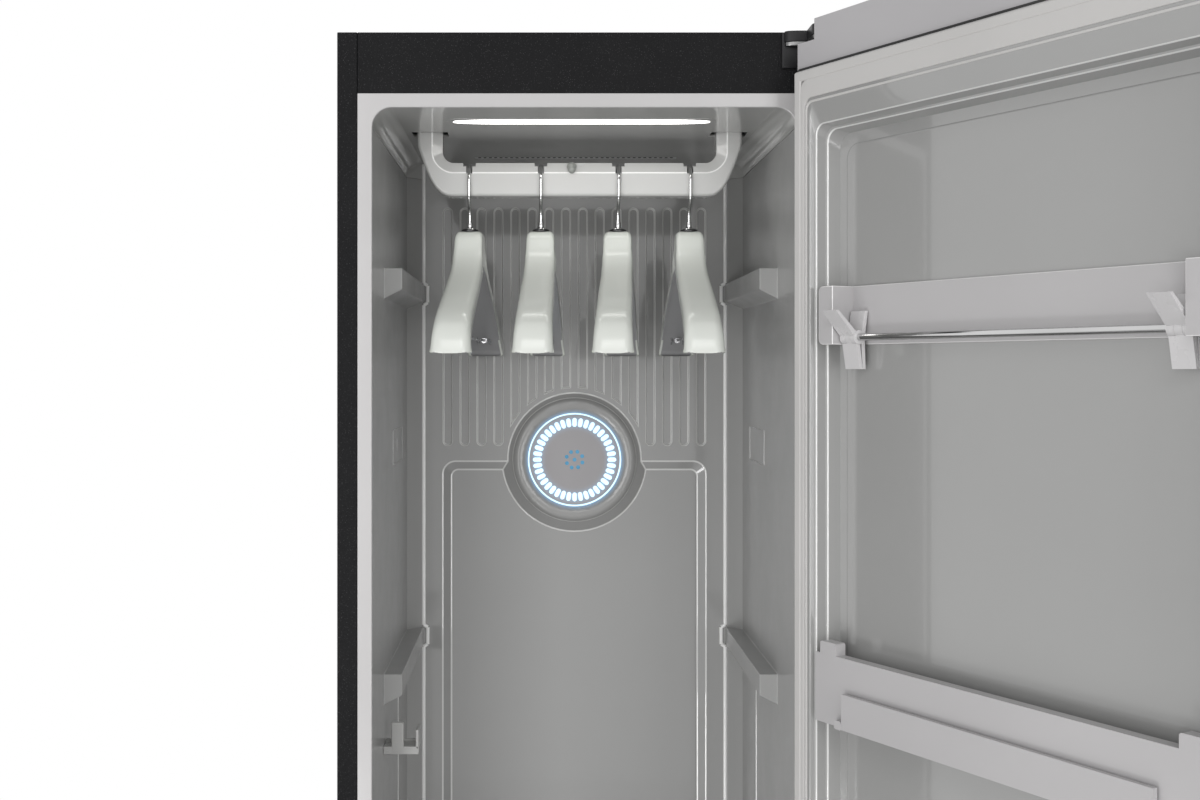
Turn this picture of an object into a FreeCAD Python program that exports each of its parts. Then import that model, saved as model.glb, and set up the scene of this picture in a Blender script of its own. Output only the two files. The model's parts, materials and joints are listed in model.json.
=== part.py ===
import FreeCAD, Part
import math
import os
import Sketcher

# Clothes care steam cabinet, millimetres. X is right, Y is towards the back, Z is up.
# The origin is the middle of the cabinet's footprint on the floor.
# The door stands open; its pieces are drawn shut and then turned about the hinge pins.

doc = FreeCAD.newDocument("SteamCabinet")

SIZES = [
    # cabinet case
    ("cabinet_width", 600, "across the two side panels"),
    ("cabinet_depth", 530, "front edge to back panel, without the door"),
    ("cabinet_height", 1960, "floor to top panel"),
    ("steel_skin", 1.2, "sheet of the case"),
    ("side_return", 24.3, "fold of a side panel at front and back"),
    ("side_edge_radius", 2.4, "rounding of the front corner of a side panel"),
    ("seam", 0.5, "gap between a side panel's fold and its neighbours"),
    ("skirt_clearance", 12, "floor to lower edge of the side panels"),
    ("pan_level", 20, "floor to underside of the base pan"),
    ("pan_thickness", 2, "base pan sheet"),
    ("pan_rim", 20, "height of the rim of the base pan"),
    ("top_flange", 14, "fold of the top panel"),
    ("rail_height", 74, "textured band above the opening"),
    ("rail_thickness", 3, "wall of that band"),
    ("rail_lip", 22, "depth of its lower lip"),
    ("vent_count", 6, "slots in the back panel"),
    ("vent_inset", 40, "middle of the back panel to the slots"),
    ("vent_width", 150, "slots in the back panel"),
    ("vent_height", 6, "slots in the back panel"),
    ("vent_pitch", 18, "slots in the back panel"),
    ("vent_level", 120, "lowest slot"),
    # feet
    ("foot_inset", 45, "foot axis to the side and front of the case"),
    ("foot_radius", 20, "foot pad"),
    ("foot_pad_height", 9, "foot pad"),
    ("foot_nut_width", 17, "across the flats of the foot's hexagon"),
    ("foot_stud_radius", 5, "M10 stud"),
    ("foot_stud_length", 44, "pad to end of the stud"),
    ("foot_hole_clearance", 0.25, "stud to its hole"),
    # light front frame
    ("opening_border", 42.5, "side of the cabinet to the clear opening"),
    ("frame_header", 17, "front frame above the opening"),
    ("opening_bottom", 100, "lower edge of the opening"),
    ("frame_bottom", 82, "lower edge of the front frame"),
    ("frame_thickness", 6, "front frame"),
    ("corner_radius", 24, "upper corners of the opening and cavity"),
    # cavity liner
    ("liner_wall", 3, "liner moulding"),
    ("liner_chamfer", 24, "bevel between side wall and back wall"),
    ("rear_space", 50, "back of the cavity to the back of the cabinet"),
    ("back_wall", 9, "liner back moulding"),
    ("floor_level", 430, "cavity floor"),
    ("floor_thickness", 6, "cavity floor"),
    ("lug_proud", 24, "shelf lug from the side wall"),
    ("lug_height", 28, "shelf lug"),
    ("lug_slope", 12, "fall of the lug's underside"),
    ("lug_setback", 130, "front edge to the front of the lugs"),
    ("upper_lug_drop", 186, "ceiling to the top of the upper lugs"),
    ("lug_spacing", 531, "upper lugs to the lower lugs"),
    ("groove_count", 16, "upright grooves of the back wall"),
    ("short_groove_count", 8, "middle grooves that end at the steam outlet"),
    ("groove_width", 13, "upright grooves of the back wall"),
    ("groove_pitch", 26.2, "upright grooves of the back wall"),
    ("groove_depth", 4, "upright grooves of the back wall"),
    ("groove_drop", 69, "ceiling to the upper ends"),
    ("groove_rise", 22, "middle of the outlet to the lower ends of the outer grooves"),
    ("groove_ring_radius", 112, "circle on which the middle grooves end"),
    ("panel_margin", 29.5, "bevel of the back wall to the sunk lower panel"),
    ("panel_drop", 3, "middle of the outlet to the top of the sunk panel"),
    ("panel_foot", 22, "cavity floor to the sunk panel"),
    ("panel_border", 13, "sloped border of the sunk panel"),
    ("panel_corner", 20, "rounded corners of the sunk panel"),
    ("panel_inner_corner", 11, "rounded corners inside the sloped border"),
    ("panel_sink", 6, "sunk lower panel"),
    # steam outlet ring
    ("ring_drop", 458, "ceiling to the middle of the steam outlet"),
    ("pedestal_radius", 95, "top of the conical seat of the ring"),
    ("pedestal_rise", 5.3, "conical seat above the back wall"),
    ("pedestal_spread", 1.5, "growth of the cone's radius per depth"),
    ("bezel_inner_radius", 72, "trim ring"),
    ("bezel_crest_radius", 85.5, "crest of the trim ring"),
    ("bezel_height", 9, "crest above the conical seat"),
    ("bezel_lip", 3, "inner and outer edge of the trim ring"),
    ("bezel_fall", 1.35, "crest to the shoulders of the trim ring"),
    ("glow_width", 2.2, "thin light ring"),
    ("outlet_hole_radius", 68, "hole of the back wall behind the ring"),
    ("disc_fit", 0.2, "disc to the light ring"),
    ("disc_thickness", 3, "perforated disc"),
    ("dash_count", 40, "rounded light windows"),
    ("dash_inner_radius", 50.7, "light windows"),
    ("dash_outer_radius", 64.5, "light windows"),
    ("dash_width", 6.7, "light windows"),
    ("dash_recess", 0.5, "light window behind the disc face"),
    ("lens_back", 2.5, "plate that joins the light windows"),
    ("steam_hole_count", 8, "steam holes round the middle one"),
    ("steam_hole_turn", 25, "degrees, first hole"),
    ("steam_hole_radius", 3, "steam holes"),
    ("steam_hole_circle", 12.9, "steam holes"),
    ("plenum_depth", 48, "steam chamber behind the disc"),
    ("plenum_wall", 3, "steam chamber"),
    ("plenum_flange", 9, "flange behind the back wall"),
    ("spigot_length", 18, "spigot for the steam pipe"),
    # lamp and small ceiling holes
    ("lamp_half_length", 168, "pointed lamp lens"),
    ("lamp_half_width", 24, "pointed lamp lens"),
    ("lamp_setback", 103, "front edge to the lamp's middle"),
    ("lamp_proud", 2.5, "lens below the ceiling"),
    ("lamp_cover_height", 12, "lamp housing above the ceiling"),
    ("drip_hole_radius", 2, "row of small holes"),
    ("drip_hole_pitch", 7.25, "row of small holes"),
    ("drip_hole_count", 30, "row of small holes"),
    ("drip_end_pitches", 2, "single hole beyond each end of the row, in pitches"),
    ("drip_row_rear", 66, "back wall of the cavity to the row"),
    # moving hanger bar
    ("bar_setback", 199, "front edge to the bar's middle"),
    ("bar_depth", 34, "front to back"),
    ("bar_side_room", 39, "wall of the cavity to the arms"),
    ("arm_width", 34, "an arm, left to right"),
    ("bar_drop", 85.3, "ceiling to underside of the bar"),
    ("bar_height", 45.3, "underside to upper edge"),
    ("bar_taper", 23.7, "how far the lower corner lies inside the arm"),
    ("bar_taper_drop", 16.4, "ceiling to the bend of the arm"),
    ("bar_bend_radius", 40, "lower corner and bend of the arm"),
    ("bar_inner_radius", 14, "inner corner of the arm"),
    ("bar_wall", 3.5, "channel walls and floor"),
    ("bar_bevel_depth", 6, "bevel along the upper edges"),
    ("bar_bevel_height", 14, "bevel along the upper edges"),
    ("bar_stroke", 6, "travel each way from the middle"),
    ("arm_slot_play", 1.2, "arm to slot end at full travel"),
    ("arm_slot_side", 2, "arm to the long sides of its slot"),
    ("hook_inner_x", 52.2, "inner pair of hooks"),
    ("hook_outer_x", 148.5, "outer pair of hooks"),
    ("notch_width", 17, "upper part of a hook notch"),
    ("notch_step", 5, "upper part of a hook notch"),
    ("notch_depth", 15, "hook notch below the bar's upper edge"),
    ("notch_play", 1.9, "hook wire to the side of the notch"),
    ("seat_gap", 0.3, "hook wire above the notch floor"),
    # drive above the ceiling
    ("carriage_gap", 12, "ceiling moulding to the carriage plate"),
    ("carriage_thickness", 6, "carriage plate"),
    ("carriage_overhang", 17, "carriage beyond the bar, front and back"),
    ("bearing_length", 24, "bearing block"),
    ("bearing_height", 22, "bearing block"),
    ("bearing_x", 140, "bearing block middle"),
    ("guide_radius", 5, "guide rod"),
    ("guide_spread", 24, "guide rod from the bar's middle"),
    ("guide_rise", 12, "guide rod above the carriage plate"),
    ("guide_end_gap", 9.5, "carriage to an end block of the rods at rest"),
    ("guide_end_length", 14, "end block"),
    ("running_fit", 0.05, "radial play of pins and bearings"),
    ("crank_throw", 10, "crank pin from the motor axis"),
    ("crank_pin_radius", 4, "crank pin"),
    ("yoke_half_slot", 4.8, "half width of the slot the pin turns in"),
    ("yoke_slot_play", 1, "pin to the ends of its slot"),
    ("crank_pin_proud", 1, "pin below the yoke"),
    ("crank_offset", 86, "motor axis behind the bar's middle"),
    ("crank_disc_radius", 17, "crank disc"),
    ("crank_disc_height", 4, "crank disc"),
    ("crank_gap", 2, "yoke to crank disc"),
    ("yoke_half_width", 22, "yoke plate"),
    ("motor_radius", 26, "shaking motor"),
    ("motor_height", 40, "shaking motor"),
    ("bracket_gap", 6, "crank disc to the motor bracket"),
    ("bracket_plate", 3, "motor bracket"),
    ("bracket_half_width", 36, "motor bracket"),
    # hooks and hangers
    ("wire_radius", 2.25, "hook wire"),
    ("crown_radius", 22, "hook over the bar"),
    ("hook_tip_drop", 4, "free end below the crown's middle"),
    ("hook_drop", 18, "straight part in front of the bar"),
    ("hook_bend_radius", 14, "bends under the bar"),
    ("stem_head_radius", 5, "button on the end of the stem"),
    ("stem_head_height", 3, "button on the end of the stem"),
    ("hanger_drop", 67, "crown's middle to the top of the hanger"),
    ("hanger_half_length", 198, "hanger"),
    ("hanger_neck_half", 16, "flat top of the hanger"),
    ("hanger_foot_half", 24, "foot of the neck"),
    ("hanger_foot_fall", 42, "foot of the neck, below the top"),
    ("hanger_shoulder_run", 122, "bend of the shoulder, from the middle"),
    ("hanger_shoulder_fall", 93, "bend of the shoulder, below the top"),
    ("hanger_end_fall", 136, "corner of the shoulder and the end, below the top"),
    ("hanger_tip_fall", 167, "tip below the top"),
    ("hanger_lower_fall", 48, "lower edge at the middle, below the top"),
    ("hanger_edge_fall", 155, "lower edge at the end, below the top"),
    ("hanger_neck_width", 40, "width at the neck"),
    ("hanger_tip_width", 52, "width at the ends"),
    ("hanger_wall", 3, "hanger moulding"),
    ("hanger_end_rim", 9, "thickness of the tip along the hanger"),
    ("hanger_round", 18, "rounded end of the hanger"),
    ("collar_radius", 10.5, "dark collar on the neck"),
    ("collar_height", 2, "dark collar on the neck"),
    ("ferrule_radius", 5, "sleeve round the stem"),
    ("ferrule_height", 10, "sleeve round the stem"),
    ("neck_block_radius", 12, "boss inside the neck"),
    ("neck_block_depth", 12, "boss inside the neck"),
    ("head_gap", 0.3, "button to the boss"),
    ("trouser_bar_radius", 3, "cross bar of the hanger"),
    ("trouser_bar_half", 150, "half length of the cross bar"),
    ("trouser_bar_fall", 147, "cross bar below the top"),
    ("ear_thickness", 5, "ear that holds the cross bar"),
    ("ear_width", 24, "ear that holds the cross bar"),
    ("ear_height", 30, "narrow part of the ear above the cross bar"),
    ("hanger_turn_1", -4.4, "degrees at rest"),
    ("hanger_turn_2", -3.1, "degrees at rest"),
    ("hanger_turn_3", -5.0, "degrees at rest"),
    ("hanger_turn_4", -0.2, "degrees at rest"),
    # catch on the left wall
    ("catch_setback", 124, "front edge to the catch's front"),
    ("catch_drop", 100, "top of the lower lugs to the catch's underside"),
    ("catch_height", 43, "plate"),
    ("catch_depth", 31, "plate, front to back"),
    ("catch_reach", 48, "prongs from the wall"),
    ("catch_plate", 4, "plate"),
    ("catch_tab_width", 17, "middle tab"),
    ("catch_prong", 4, "prongs"),
    # door
    ("door_gap", 12, "cabinet front to the door's back skin"),
    ("door_thickness", 54, "back skin to front glass"),
    ("door_edge_gap", 3, "door inside the cabinet's width, each side"),
    ("door_bottom", 45, "floor to the door"),
    ("door_skin", 1.5, "door shell"),
    ("door_glass", 4, "front glass"),
    ("door_notch_width", 30, "corner cut for the top hinge"),
    ("door_notch_height", 24.4, "corner cut for the top hinge"),
    ("door_open_angle", 119, "degrees at rest"),
    ("hinge_inset", 17, "pin axis from the cabinet's side"),
    ("hinge_pin_offset", 40, "pin axis in front of the cabinet"),
    ("hinge_pin_radius", 5, "hinge pin"),
    ("hinge_pin_reach", 28, "pin inside the door"),
    ("hinge_block_wall", 6, "door block beyond the end of the pin"),
    ("hinge_arm_thickness", 15, "hinge arm"),
    ("hinge_arm_inner", 14, "arm round the pin"),
    ("hinge_arm_tail", 36, "arm at the cabinet, from the pin axis"),
    ("hinge_tail_thickness", 3, "end of the arm on the plate"),
    ("hinge_root_depth", 5, "root of the arm beside the door's corner"),
    ("hinge_shoulder_depth", 12, "shoulder of the arm"),
    ("hinge_plate_rise", 1, "upper hinge plate above the arm"),
    ("hinge_foot_rise", 22, "lower hinge plate above the arm"),
    ("hinge_plate", 4, "hinge plate on the cabinet"),
    ("hinge_plate_height", 42, "hinge plate on the cabinet"),
    ("hinge_plate_width", 60, "hinge plate on the cabinet"),
    ("hinge_air", 3, "arm to the door below or above it"),
    ("gasket_inset", 5, "gasket inside the door's edge"),
    ("gasket_width", 14, "gasket"),
    ("gasket_proud", 11.2, "gasket from the door's back skin"),
    ("gasket_shoulder", 6, "gasket height at its outer edge"),
    ("gasket_bevel", 3, "bevel of the outer edge"),
    ("gasket_top_drop", 59, "cabinet top to the gasket"),
    ("gasket_foot", 22, "door bottom to the gasket"),
    ("border_width", 15, "raised border of the door liner"),
    ("border_proud", 10, "border from the door's back skin"),
    ("pan_depth", 27, "pan floor below the door's back skin"),
    ("pan_slope", 10, "slope of the pan's side walls"),
    ("pan_top_border", 31, "upper border of the door liner"),
    ("pan_top_slope", 36, "slope of the pan's upper wall"),
    ("grip_level", 900, "grip groove in the door's edge"),
    ("grip_length", 400, "grip groove"),
    ("grip_depth", 9, "grip groove"),
    ("grip_width", 16, "grip groove"),
    # trouser fittings on the door
    ("clip_bracket_drop", 314, "top of the door to the clip bracket"),
    ("clip_bracket_height", 67, "clip bracket"),
    ("clip_bracket_play", 2.7, "clip bracket to the side of the pan"),
    ("clip_bracket_cheek", 24, "end cheek"),
    ("clip_bracket_proud", 8, "cheeks from the door's back skin"),
    ("clip_bracket_back", 4, "cross piece behind the rod"),
    ("clip_rod_radius", 4, "rod"),
    ("clip_rod_rise", 8, "rod above the underside of the bracket"),
    ("clip_rod_sink", 9, "rod behind the door's back skin"),
    ("clip_gap", 2, "clip to the end cheek"),
    ("clip_width", 24, "clip"),
    ("clip_hub", 8, "hub radius"),
    ("clip_hub_half", 4, "half width of the jaw's hub"),
    ("clip_inner_reach", 12.8, "inner handle behind the rod"),
    ("clip_bite", 5, "meeting jaws behind the rod"),
    ("clip_side_play", 0.3, "jaw hub to the ears"),
    ("clip_handle_rise", 30, "handle above the rod"),
    ("clip_handle_reach", 30, "handle in front of the rod"),
    ("clip_jaw_drop", 36, "jaw tip below the rod"),
    ("clip_leg", 4, "thickness of a clip leg"),
    ("trouser_rail_fall", 433, "underside of the clip bracket to that of the rail"),
    ("trouser_rail_height", 79, "trouser rail"),
    ("trouser_rail_proud", 8, "rail from the door's back skin"),
    ("trouser_rail_thickness", 14, "rail"),
    ("trouser_tab_height", 14, "tabs on the rail"),
    ("trouser_tab_inset", 19.2, "side of the pan floor to a tab's middle"),
    ("trouser_tab_width", 27, "tabs on the rail"),
    ("flap_inset", 51.7, "side of the pan floor to the trouser flap"),
    ("flap_rise", 1, "flap above the rail's lower edge"),
    ("flap_height", 40, "trouser flap"),
    ("flap_thickness", 6, "trouser flap"),
    ("flap_pin_radius", 2.5, "flap pin"),
    ("flap_gap", 3, "slot between rail and flap"),
    ("flap_ear_height", 10, "ears that hold the flap's pins"),
    ("flap_ear_width", 12, "ears that hold the flap's pins"),
    # water tanks and machine space
    ("bay_depth", 159, "tank bay behind the front frame"),
    ("bay_side_room", 14.5, "side of the opening to the inside of the bay"),
    ("bay_divider", 4, "wall between the tanks"),
    ("tank_play", 2.5, "water tank to each side of its room"),
    ("tank_height", 296, "water tank"),
    ("tank_depth", 147, "water tank"),
    ("tank_wall", 2.5, "water tank"),
    ("tank_corner", 7.5, "rounded front corners"),
    ("tank_setback", 10, "front edge of the cabinet to the tank's face"),
    ("tank_grip_width", 110, "grip recess"),
    ("tank_grip_height", 34, "grip recess"),
    ("tank_grip_depth", 20, "grip recess"),
    ("rest_gap", 0.3, "loose piece above what carries it"),
    ("duct_half_width", 155, "air duct"),
    ("duct_bottom", 250, "air duct"),
    ("duct_front_setback", 168, "front edge to the duct"),
    ("duct_length", 297, "air duct"),
    ("duct_wall", 3, "air duct"),
    ("filter_half_width", 148, "lint filter frame"),
    ("filter_setback", 192, "front edge to the middle of the filter"),
    ("filter_thickness", 20, "lint filter frame"),
    ("filter_drop", 140, "lint filter below the floor"),
    ("filter_play", 1.5, "filter in its slot"),
    ("filter_lip", 4, "filter rim beyond the slot"),
    ("filter_lip_height", 3, "filter rim"),
    ("filter_handle_half", 30, "handle on the filter"),
    ("filter_handle_height", 12, "handle on the filter"),
    ("grille_half_width", 146, "outlet grille"),
    ("grille_rear", 56, "back wall of the cavity to the grille's middle"),
    ("grille_depth", 60, "outlet grille"),
    ("grille_bar", 3, "grille bars"),
    ("grille_pitch", 10, "grille bars"),
    ("coil_half_width", 142, "fin block"),
    ("coil_depth", 42, "fin block"),
    ("coil_setback", 222, "front edge to the first fin block"),
    ("coil_spacing", 52, "between the two fin blocks"),
    ("coil_height", 160, "fin block"),
    ("fin_pitch", 9, "fins"),
    ("fin_thickness", 1, "fins"),
    ("coil_tube_radius", 4, "tubes"),
    ("coil_tube_columns", 2, "tubes"),
    ("coil_tube_rows", 4, "tubes"),
    ("fan_setback", 340, "front edge to the fan's inlet plate"),
    ("fan_inlet_radius", 42, "fan inlet"),
    ("fan_radius", 62, "impeller"),
    ("fan_length", 40, "impeller"),
    ("fan_gap", 6, "inlet plate to impeller"),
    ("fan_level", 335, "fan axis"),
    ("fan_hub_radius", 14, "impeller hub"),
    ("fan_blades", 20, "impeller"),
    ("fan_blade_depth", 12, "inner to outer edge of a blade"),
    ("fan_blade_lean", 4.5, "outer edge beside the inner edge"),
    ("fan_blade_thickness", 1.5, "blade"),
    ("fan_shaft_reach", 10, "shaft inside the motor"),
    ("fan_shaft_radius", 4, "fan shaft"),
    ("fan_motor_radius", 35, "fan motor"),
    ("fan_motor_gap", 10, "impeller to motor"),
    ("compressor_side", 21.8, "side panel to the compressor"),
    ("compressor_rear", 130, "back of the cabinet to the compressor's axis"),
    ("compressor_radius", 62, "compressor"),
    ("compressor_height", 170, "compressor"),
    ("compressor_foot", 8, "rubber feet"),
    ("compressor_feet", 3, "rubber feet"),
    ("compressor_foot_circle", 46.5, "rubber feet"),
    ("boiler_side", 28.8, "side panel to the steam generator"),
    ("boiler_width", 150, "steam generator"),
    ("boiler_depth", 110, "steam generator"),
    ("boiler_height", 110, "steam generator"),
    ("boiler_leg", 38, "steam generator legs"),
    ("boiler_leg_half", 9, "half width of a leg"),
    ("boiler_rear", 25, "back of the cabinet to the steam generator"),
    ("pipe_radius", 9, "steam pipe"),
    ("pipe_bore", 7, "steam pipe"),
    ("pipe_bend", 30, "steam pipe"),
    ("pipe_x", 190, "steam pipe left of the middle"),
    ("pump_radius", 20, "water pump"),
    ("pump_height", 70, "water pump"),
    ("pump_port_radius", 7, "outlet of the pump"),
    ("pump_x", 205, "water pump left of the middle"),
    ("pump_setback", 210, "front edge to the pump axis"),
    ("control_side", 23.8, "side panel to the electronics box"),
    ("control_rise", 20, "electronics box above the duct's underside"),
    ("control_depth", 120, "electronics box"),
    ("control_height", 120, "electronics box"),
    ("control_setback", 210, "electronics box"),
    ("gland_inset", 70, "side of the cabinet to the cord gland"),
    ("gland_level", 120, "cord gland"),
    ("gland_radius", 9, "cord gland barrel"),
    ("gland_bore", 4.5, "cord gland bore"),
    ("gland_flange", 14, "cord gland flange"),
    ("gland_flange_thickness", 6, "cord gland flange"),
    ("gland_reach", 4.8, "cord gland barrel inside the cabinet"),
]

ROOT_TWO = math.sqrt(2)
SIN_60 = math.sin(math.radians(60))


class Measure:
    """A size that is known both as a formula of the document and as a number."""

    def __init__(self, formula, number):
        self.formula = formula
        self.number = number

    def __add__(self, other):
        other = measure(other)
        return Measure(f"({self.formula} + {other.formula})", self.number + other.number)

    def __sub__(self, other):
        other = measure(other)
        return Measure(f"({self.formula} - {other.formula})", self.number - other.number)

    def __mul__(self, other):
        other = measure(other)
        return Measure(f"({self.formula} * {other.formula})", self.number * other.number)

    def __truediv__(self, other):
        other = measure(other)
        return Measure(f"({self.formula} / {other.formula})", self.number / other.number)

    def __neg__(self):
        return Measure(f"(-{self.formula})", -self.number)

    def __radd__(self, other):
        return measure(other) + self

    def __rsub__(self, other):
        return measure(other) - self

    def __rmul__(self, other):
        return self * other


def measure(value):
    """A plain number becomes a Measure; a Measure stays as it is."""
    if isinstance(value, Measure):
        return value
    return Measure(f"({value:.9g})", value)


def root(value):
    return Measure(f"sqrt({value.formula})", math.sqrt(value.number))


def cosine(value):
    return Measure(f"cos({value.formula})", math.cos(math.radians(value.number)))


def sine(value):
    return Measure(f"sin({value.formula})", math.sin(math.radians(value.number)))


class Sizes:
    """The driving sizes, each one a cell of the spreadsheet."""


size = Sizes()
sheet = doc.addObject("Spreadsheet::Sheet", "Sizes")
for row, (alias, number, meaning) in enumerate(SIZES, start=1):
    sheet.set(f"A{row}", meaning)
    sheet.set(f"B{row}", str(number))
    sheet.setAlias(f"B{row}", alias)
    setattr(size, alias, Measure("Sizes." + alias, number))
doc.recompute()

places = doc.addObject("App::VarSet", "Places")


def place(name, value):
    """Store a worked-out place under a name of its own and hand it back by that name."""
    places.addProperty("App::PropertyFloat", name, "Places")
    places.setExpression(name, value.formula)
    return Measure("Places." + name, value.number)


# ------------------------------------------------------------ drawing helpers

TURN_TO_AXIS = {
    "X": FreeCAD.Rotation(FreeCAD.Vector(0, 1, 0), 90),
    "Y": FreeCAD.Rotation(FreeCAD.Vector(1, 0, 0), -90),
    "Z": FreeCAD.Rotation(),
}
NODES = []


def node(name, solid):
    """Give a finished sub-part its name."""
    solid.Label = name
    NODES.append(solid)
    return solid


def bind(item, prop, value):
    item.setExpression(prop, measure(value).formula)


def put(item, x, y, z):
    bind(item, "Placement.Base.x", x)
    bind(item, "Placement.Base.y", y)
    bind(item, "Placement.Base.z", z)
    return item


def both(value):
    """The span from minus to plus a half width."""
    return (-value, value)


def around(middle, half):
    return (middle - half, middle + half)


def on_side(side, low, high):
    """A span given for the right side, or its mirror image for the left."""
    return (low, high) if side > 0 else (-high, -low)


def box(across, deep, high):
    solid = doc.addObject("Part::Box", "Block")
    for prop, span in (("Length", across), ("Width", deep), ("Height", high)):
        bind(solid, prop, measure(span[1]) - span[0])
    return put(solid, across[0], deep[0], high[0])


def rod(axis, spot, radius, span):
    """A cylinder along X, Y or Z through a spot given by the two other coordinates."""
    solid = doc.addObject("Part::Cylinder", "Rod")
    solid.Placement.Rotation = TURN_TO_AXIS[axis]
    bind(solid, "Radius", radius)
    bind(solid, "Height", measure(span[1]) - span[0])
    return at_spot(solid, axis, spot, span[0])


def cone(axis, spot, first_radius, last_radius, span):
    solid = doc.addObject("Part::Cone", "Cone")
    solid.Placement.Rotation = TURN_TO_AXIS[axis]
    bind(solid, "Radius1", first_radius)
    bind(solid, "Radius2", last_radius)
    bind(solid, "Height", measure(span[1]) - span[0])
    return at_spot(solid, axis, spot, span[0])


def at_spot(solid, axis, spot, start):
    where = {"X": (start, *spot), "Y": (spot[0], start, spot[1]), "Z": (*spot, start)}
    return put(solid, *where[axis])


def tapered_box(deep, front_x, front_z, back_x, back_z):
    """A box whose front and back faces differ in size."""
    solid = doc.addObject("Part::Wedge", "Wedge")
    ends = (("Xmin", front_x[0]), ("Xmax", front_x[1]), ("Zmin", front_z[0]), ("Zmax", front_z[1]),
            ("X2min", back_x[0]), ("X2max", back_x[1]), ("Z2min", back_z[0]), ("Z2max", back_z[1]),
            ("Ymin", deep[0]), ("Ymax", deep[1]))
    for prop, value in ends:
        bind(solid, prop, value)
    return solid


def joined(*pieces):
    whole = doc.addObject("Part::MultiFuse", "Joined")
    whole.Shapes = list(pieces)
    return whole


def group(*pieces):
    """Separate solids that are used together."""
    whole = doc.addObject("Part::Compound", "Group")
    whole.Links = list(pieces)
    return whole


def without(base, *tools):
    whole = doc.addObject("Part::Cut", "Trimmed")
    whole.Base = base
    whole.Tool = tools[0] if len(tools) == 1 else joined(*tools)
    return whole


def overlap(*pieces):
    whole = doc.addObject("Part::MultiCommon", "Overlap")
    whole.Shapes = list(pieces)
    return whole


def new_body(name="Body"):
    return doc.addObject("PartDesign::Body", name)


def body_from(solid):
    """A body that goes on from a boolean made before."""
    body = new_body()
    body.BaseFeature = solid
    doc.recompute()
    return body


def new_sketch(body, plane, level, shift=0):
    sketch = body.newObject("Sketcher::SketchObject", "Outline")
    for datum in body.Origin.OriginFeatures:
        if datum.Role == plane + "_Plane":
            sketch.AttachmentSupport = (datum, [""])
    sketch.MapMode = "FlatFace"
    bind(sketch, "AttachmentOffset.Base.z", level)
    bind(sketch, "AttachmentOffset.Base.y", shift)
    return sketch


def fix(sketch, kind, where, value):
    index = sketch.addConstraint(Sketcher.Constraint(kind, *where, measure(value).number))
    bind(sketch, f"Constraints[{index}]", value)


def draw(sketch, points, bends=None, closed=True):
    """Lines through the points; bends maps a stretch to (radius, centre, turns left)."""
    bends = bends or {}
    spots = [FreeCAD.Vector(measure(a).number, measure(b).number, 0) for a, b in points]
    stretches = len(points) if closed else len(points) - 1
    ends = []
    for i in range(stretches):
        first, last = spots[i], spots[(i + 1) % len(spots)]
        if i not in bends:
            sketch.addGeometry(Part.LineSegment(first, last), False)
            ends.append((1, 2))
            continue
        radius, centre, turns_left = bends[i]
        middle = FreeCAD.Vector(measure(centre[0]).number, measure(centre[1]).number, 0)
        if not turns_left:
            first, last = last, first
        angles = [math.atan2(spot.y - middle.y, spot.x - middle.x) for spot in (first, last)]
        if angles[1] <= angles[0]:
            angles[1] += 2 * math.pi
        circle = Part.Circle(middle, FreeCAD.Vector(0, 0, 1), measure(radius).number)
        sketch.addGeometry(Part.ArcOfCircle(circle, *angles), False)
        ends.append((1, 2) if turns_left else (2, 1))
    for i in range(stretches if closed else stretches - 1):
        follower = (i + 1) % stretches
        joint = Sketcher.Constraint("Coincident", i, ends[i][1], follower, ends[follower][0])
        sketch.addConstraint(joint)
    for i, point in enumerate(points):
        where = (i, ends[i][0]) if i < stretches else (stretches - 1, ends[-1][1])
        fix(sketch, "DistanceX", (-1, 1, *where), point[0])
        fix(sketch, "DistanceY", (-1, 1, *where), point[1])
    for i, (radius, centre, turns_left) in bends.items():
        chord = spots[(i + 1) % len(spots)] - spots[i]
        if abs(chord.x) > abs(chord.y):
            fix(sketch, "DistanceY", (-1, 1, i, 3), centre[1])
        else:
            fix(sketch, "DistanceX", (-1, 1, i, 3), centre[0])
    return sketch


def draw_circle(sketch, centre, radius):
    spot = FreeCAD.Vector(measure(centre[0]).number, measure(centre[1]).number, 0)
    circle = Part.Circle(spot, FreeCAD.Vector(0, 0, 1), measure(radius).number)
    index = sketch.addGeometry(circle, False)
    fix(sketch, "DistanceX", (-1, 1, index, 3), centre[0])
    fix(sketch, "DistanceY", (-1, 1, index, 3), centre[1])
    fix(sketch, "Radius", (index,), radius)
    return sketch


def prism(plane, points, span, bends=None):
    """An outline in the XY, XZ or YZ plane, padded over a span of the third axis."""
    body = new_body()
    level = -measure(span[1]) if plane == "XZ" else span[0]
    sketch = draw(new_sketch(body, plane, level), points, bends)
    pad = body.newObject("PartDesign::Pad", "Pad")
    pad.Profile = sketch
    bind(pad, "Length", measure(span[1]) - span[0])
    doc.recompute()
    return body


def block(across, deep, high):
    """A box as a body, for a piece whose edges are rounded next."""
    corners = [(across[0], deep[0]), (across[1], deep[0]), (across[1], deep[1]), (across[0], deep[1])]
    return prism("XY", corners, high)


def turned(points, level):
    """A body of revolution about the Y direction at a height; points are (y, radius)."""
    body = new_body()
    sketch = draw(new_sketch(body, "YZ", 0, level), points)
    spin = body.newObject("PartDesign::Revolution", "Revolution")
    spin.Profile = sketch
    spin.ReferenceAxis = (sketch, ["H_Axis"])
    spin.Angle = 360
    doc.recompute()
    return body


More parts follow.
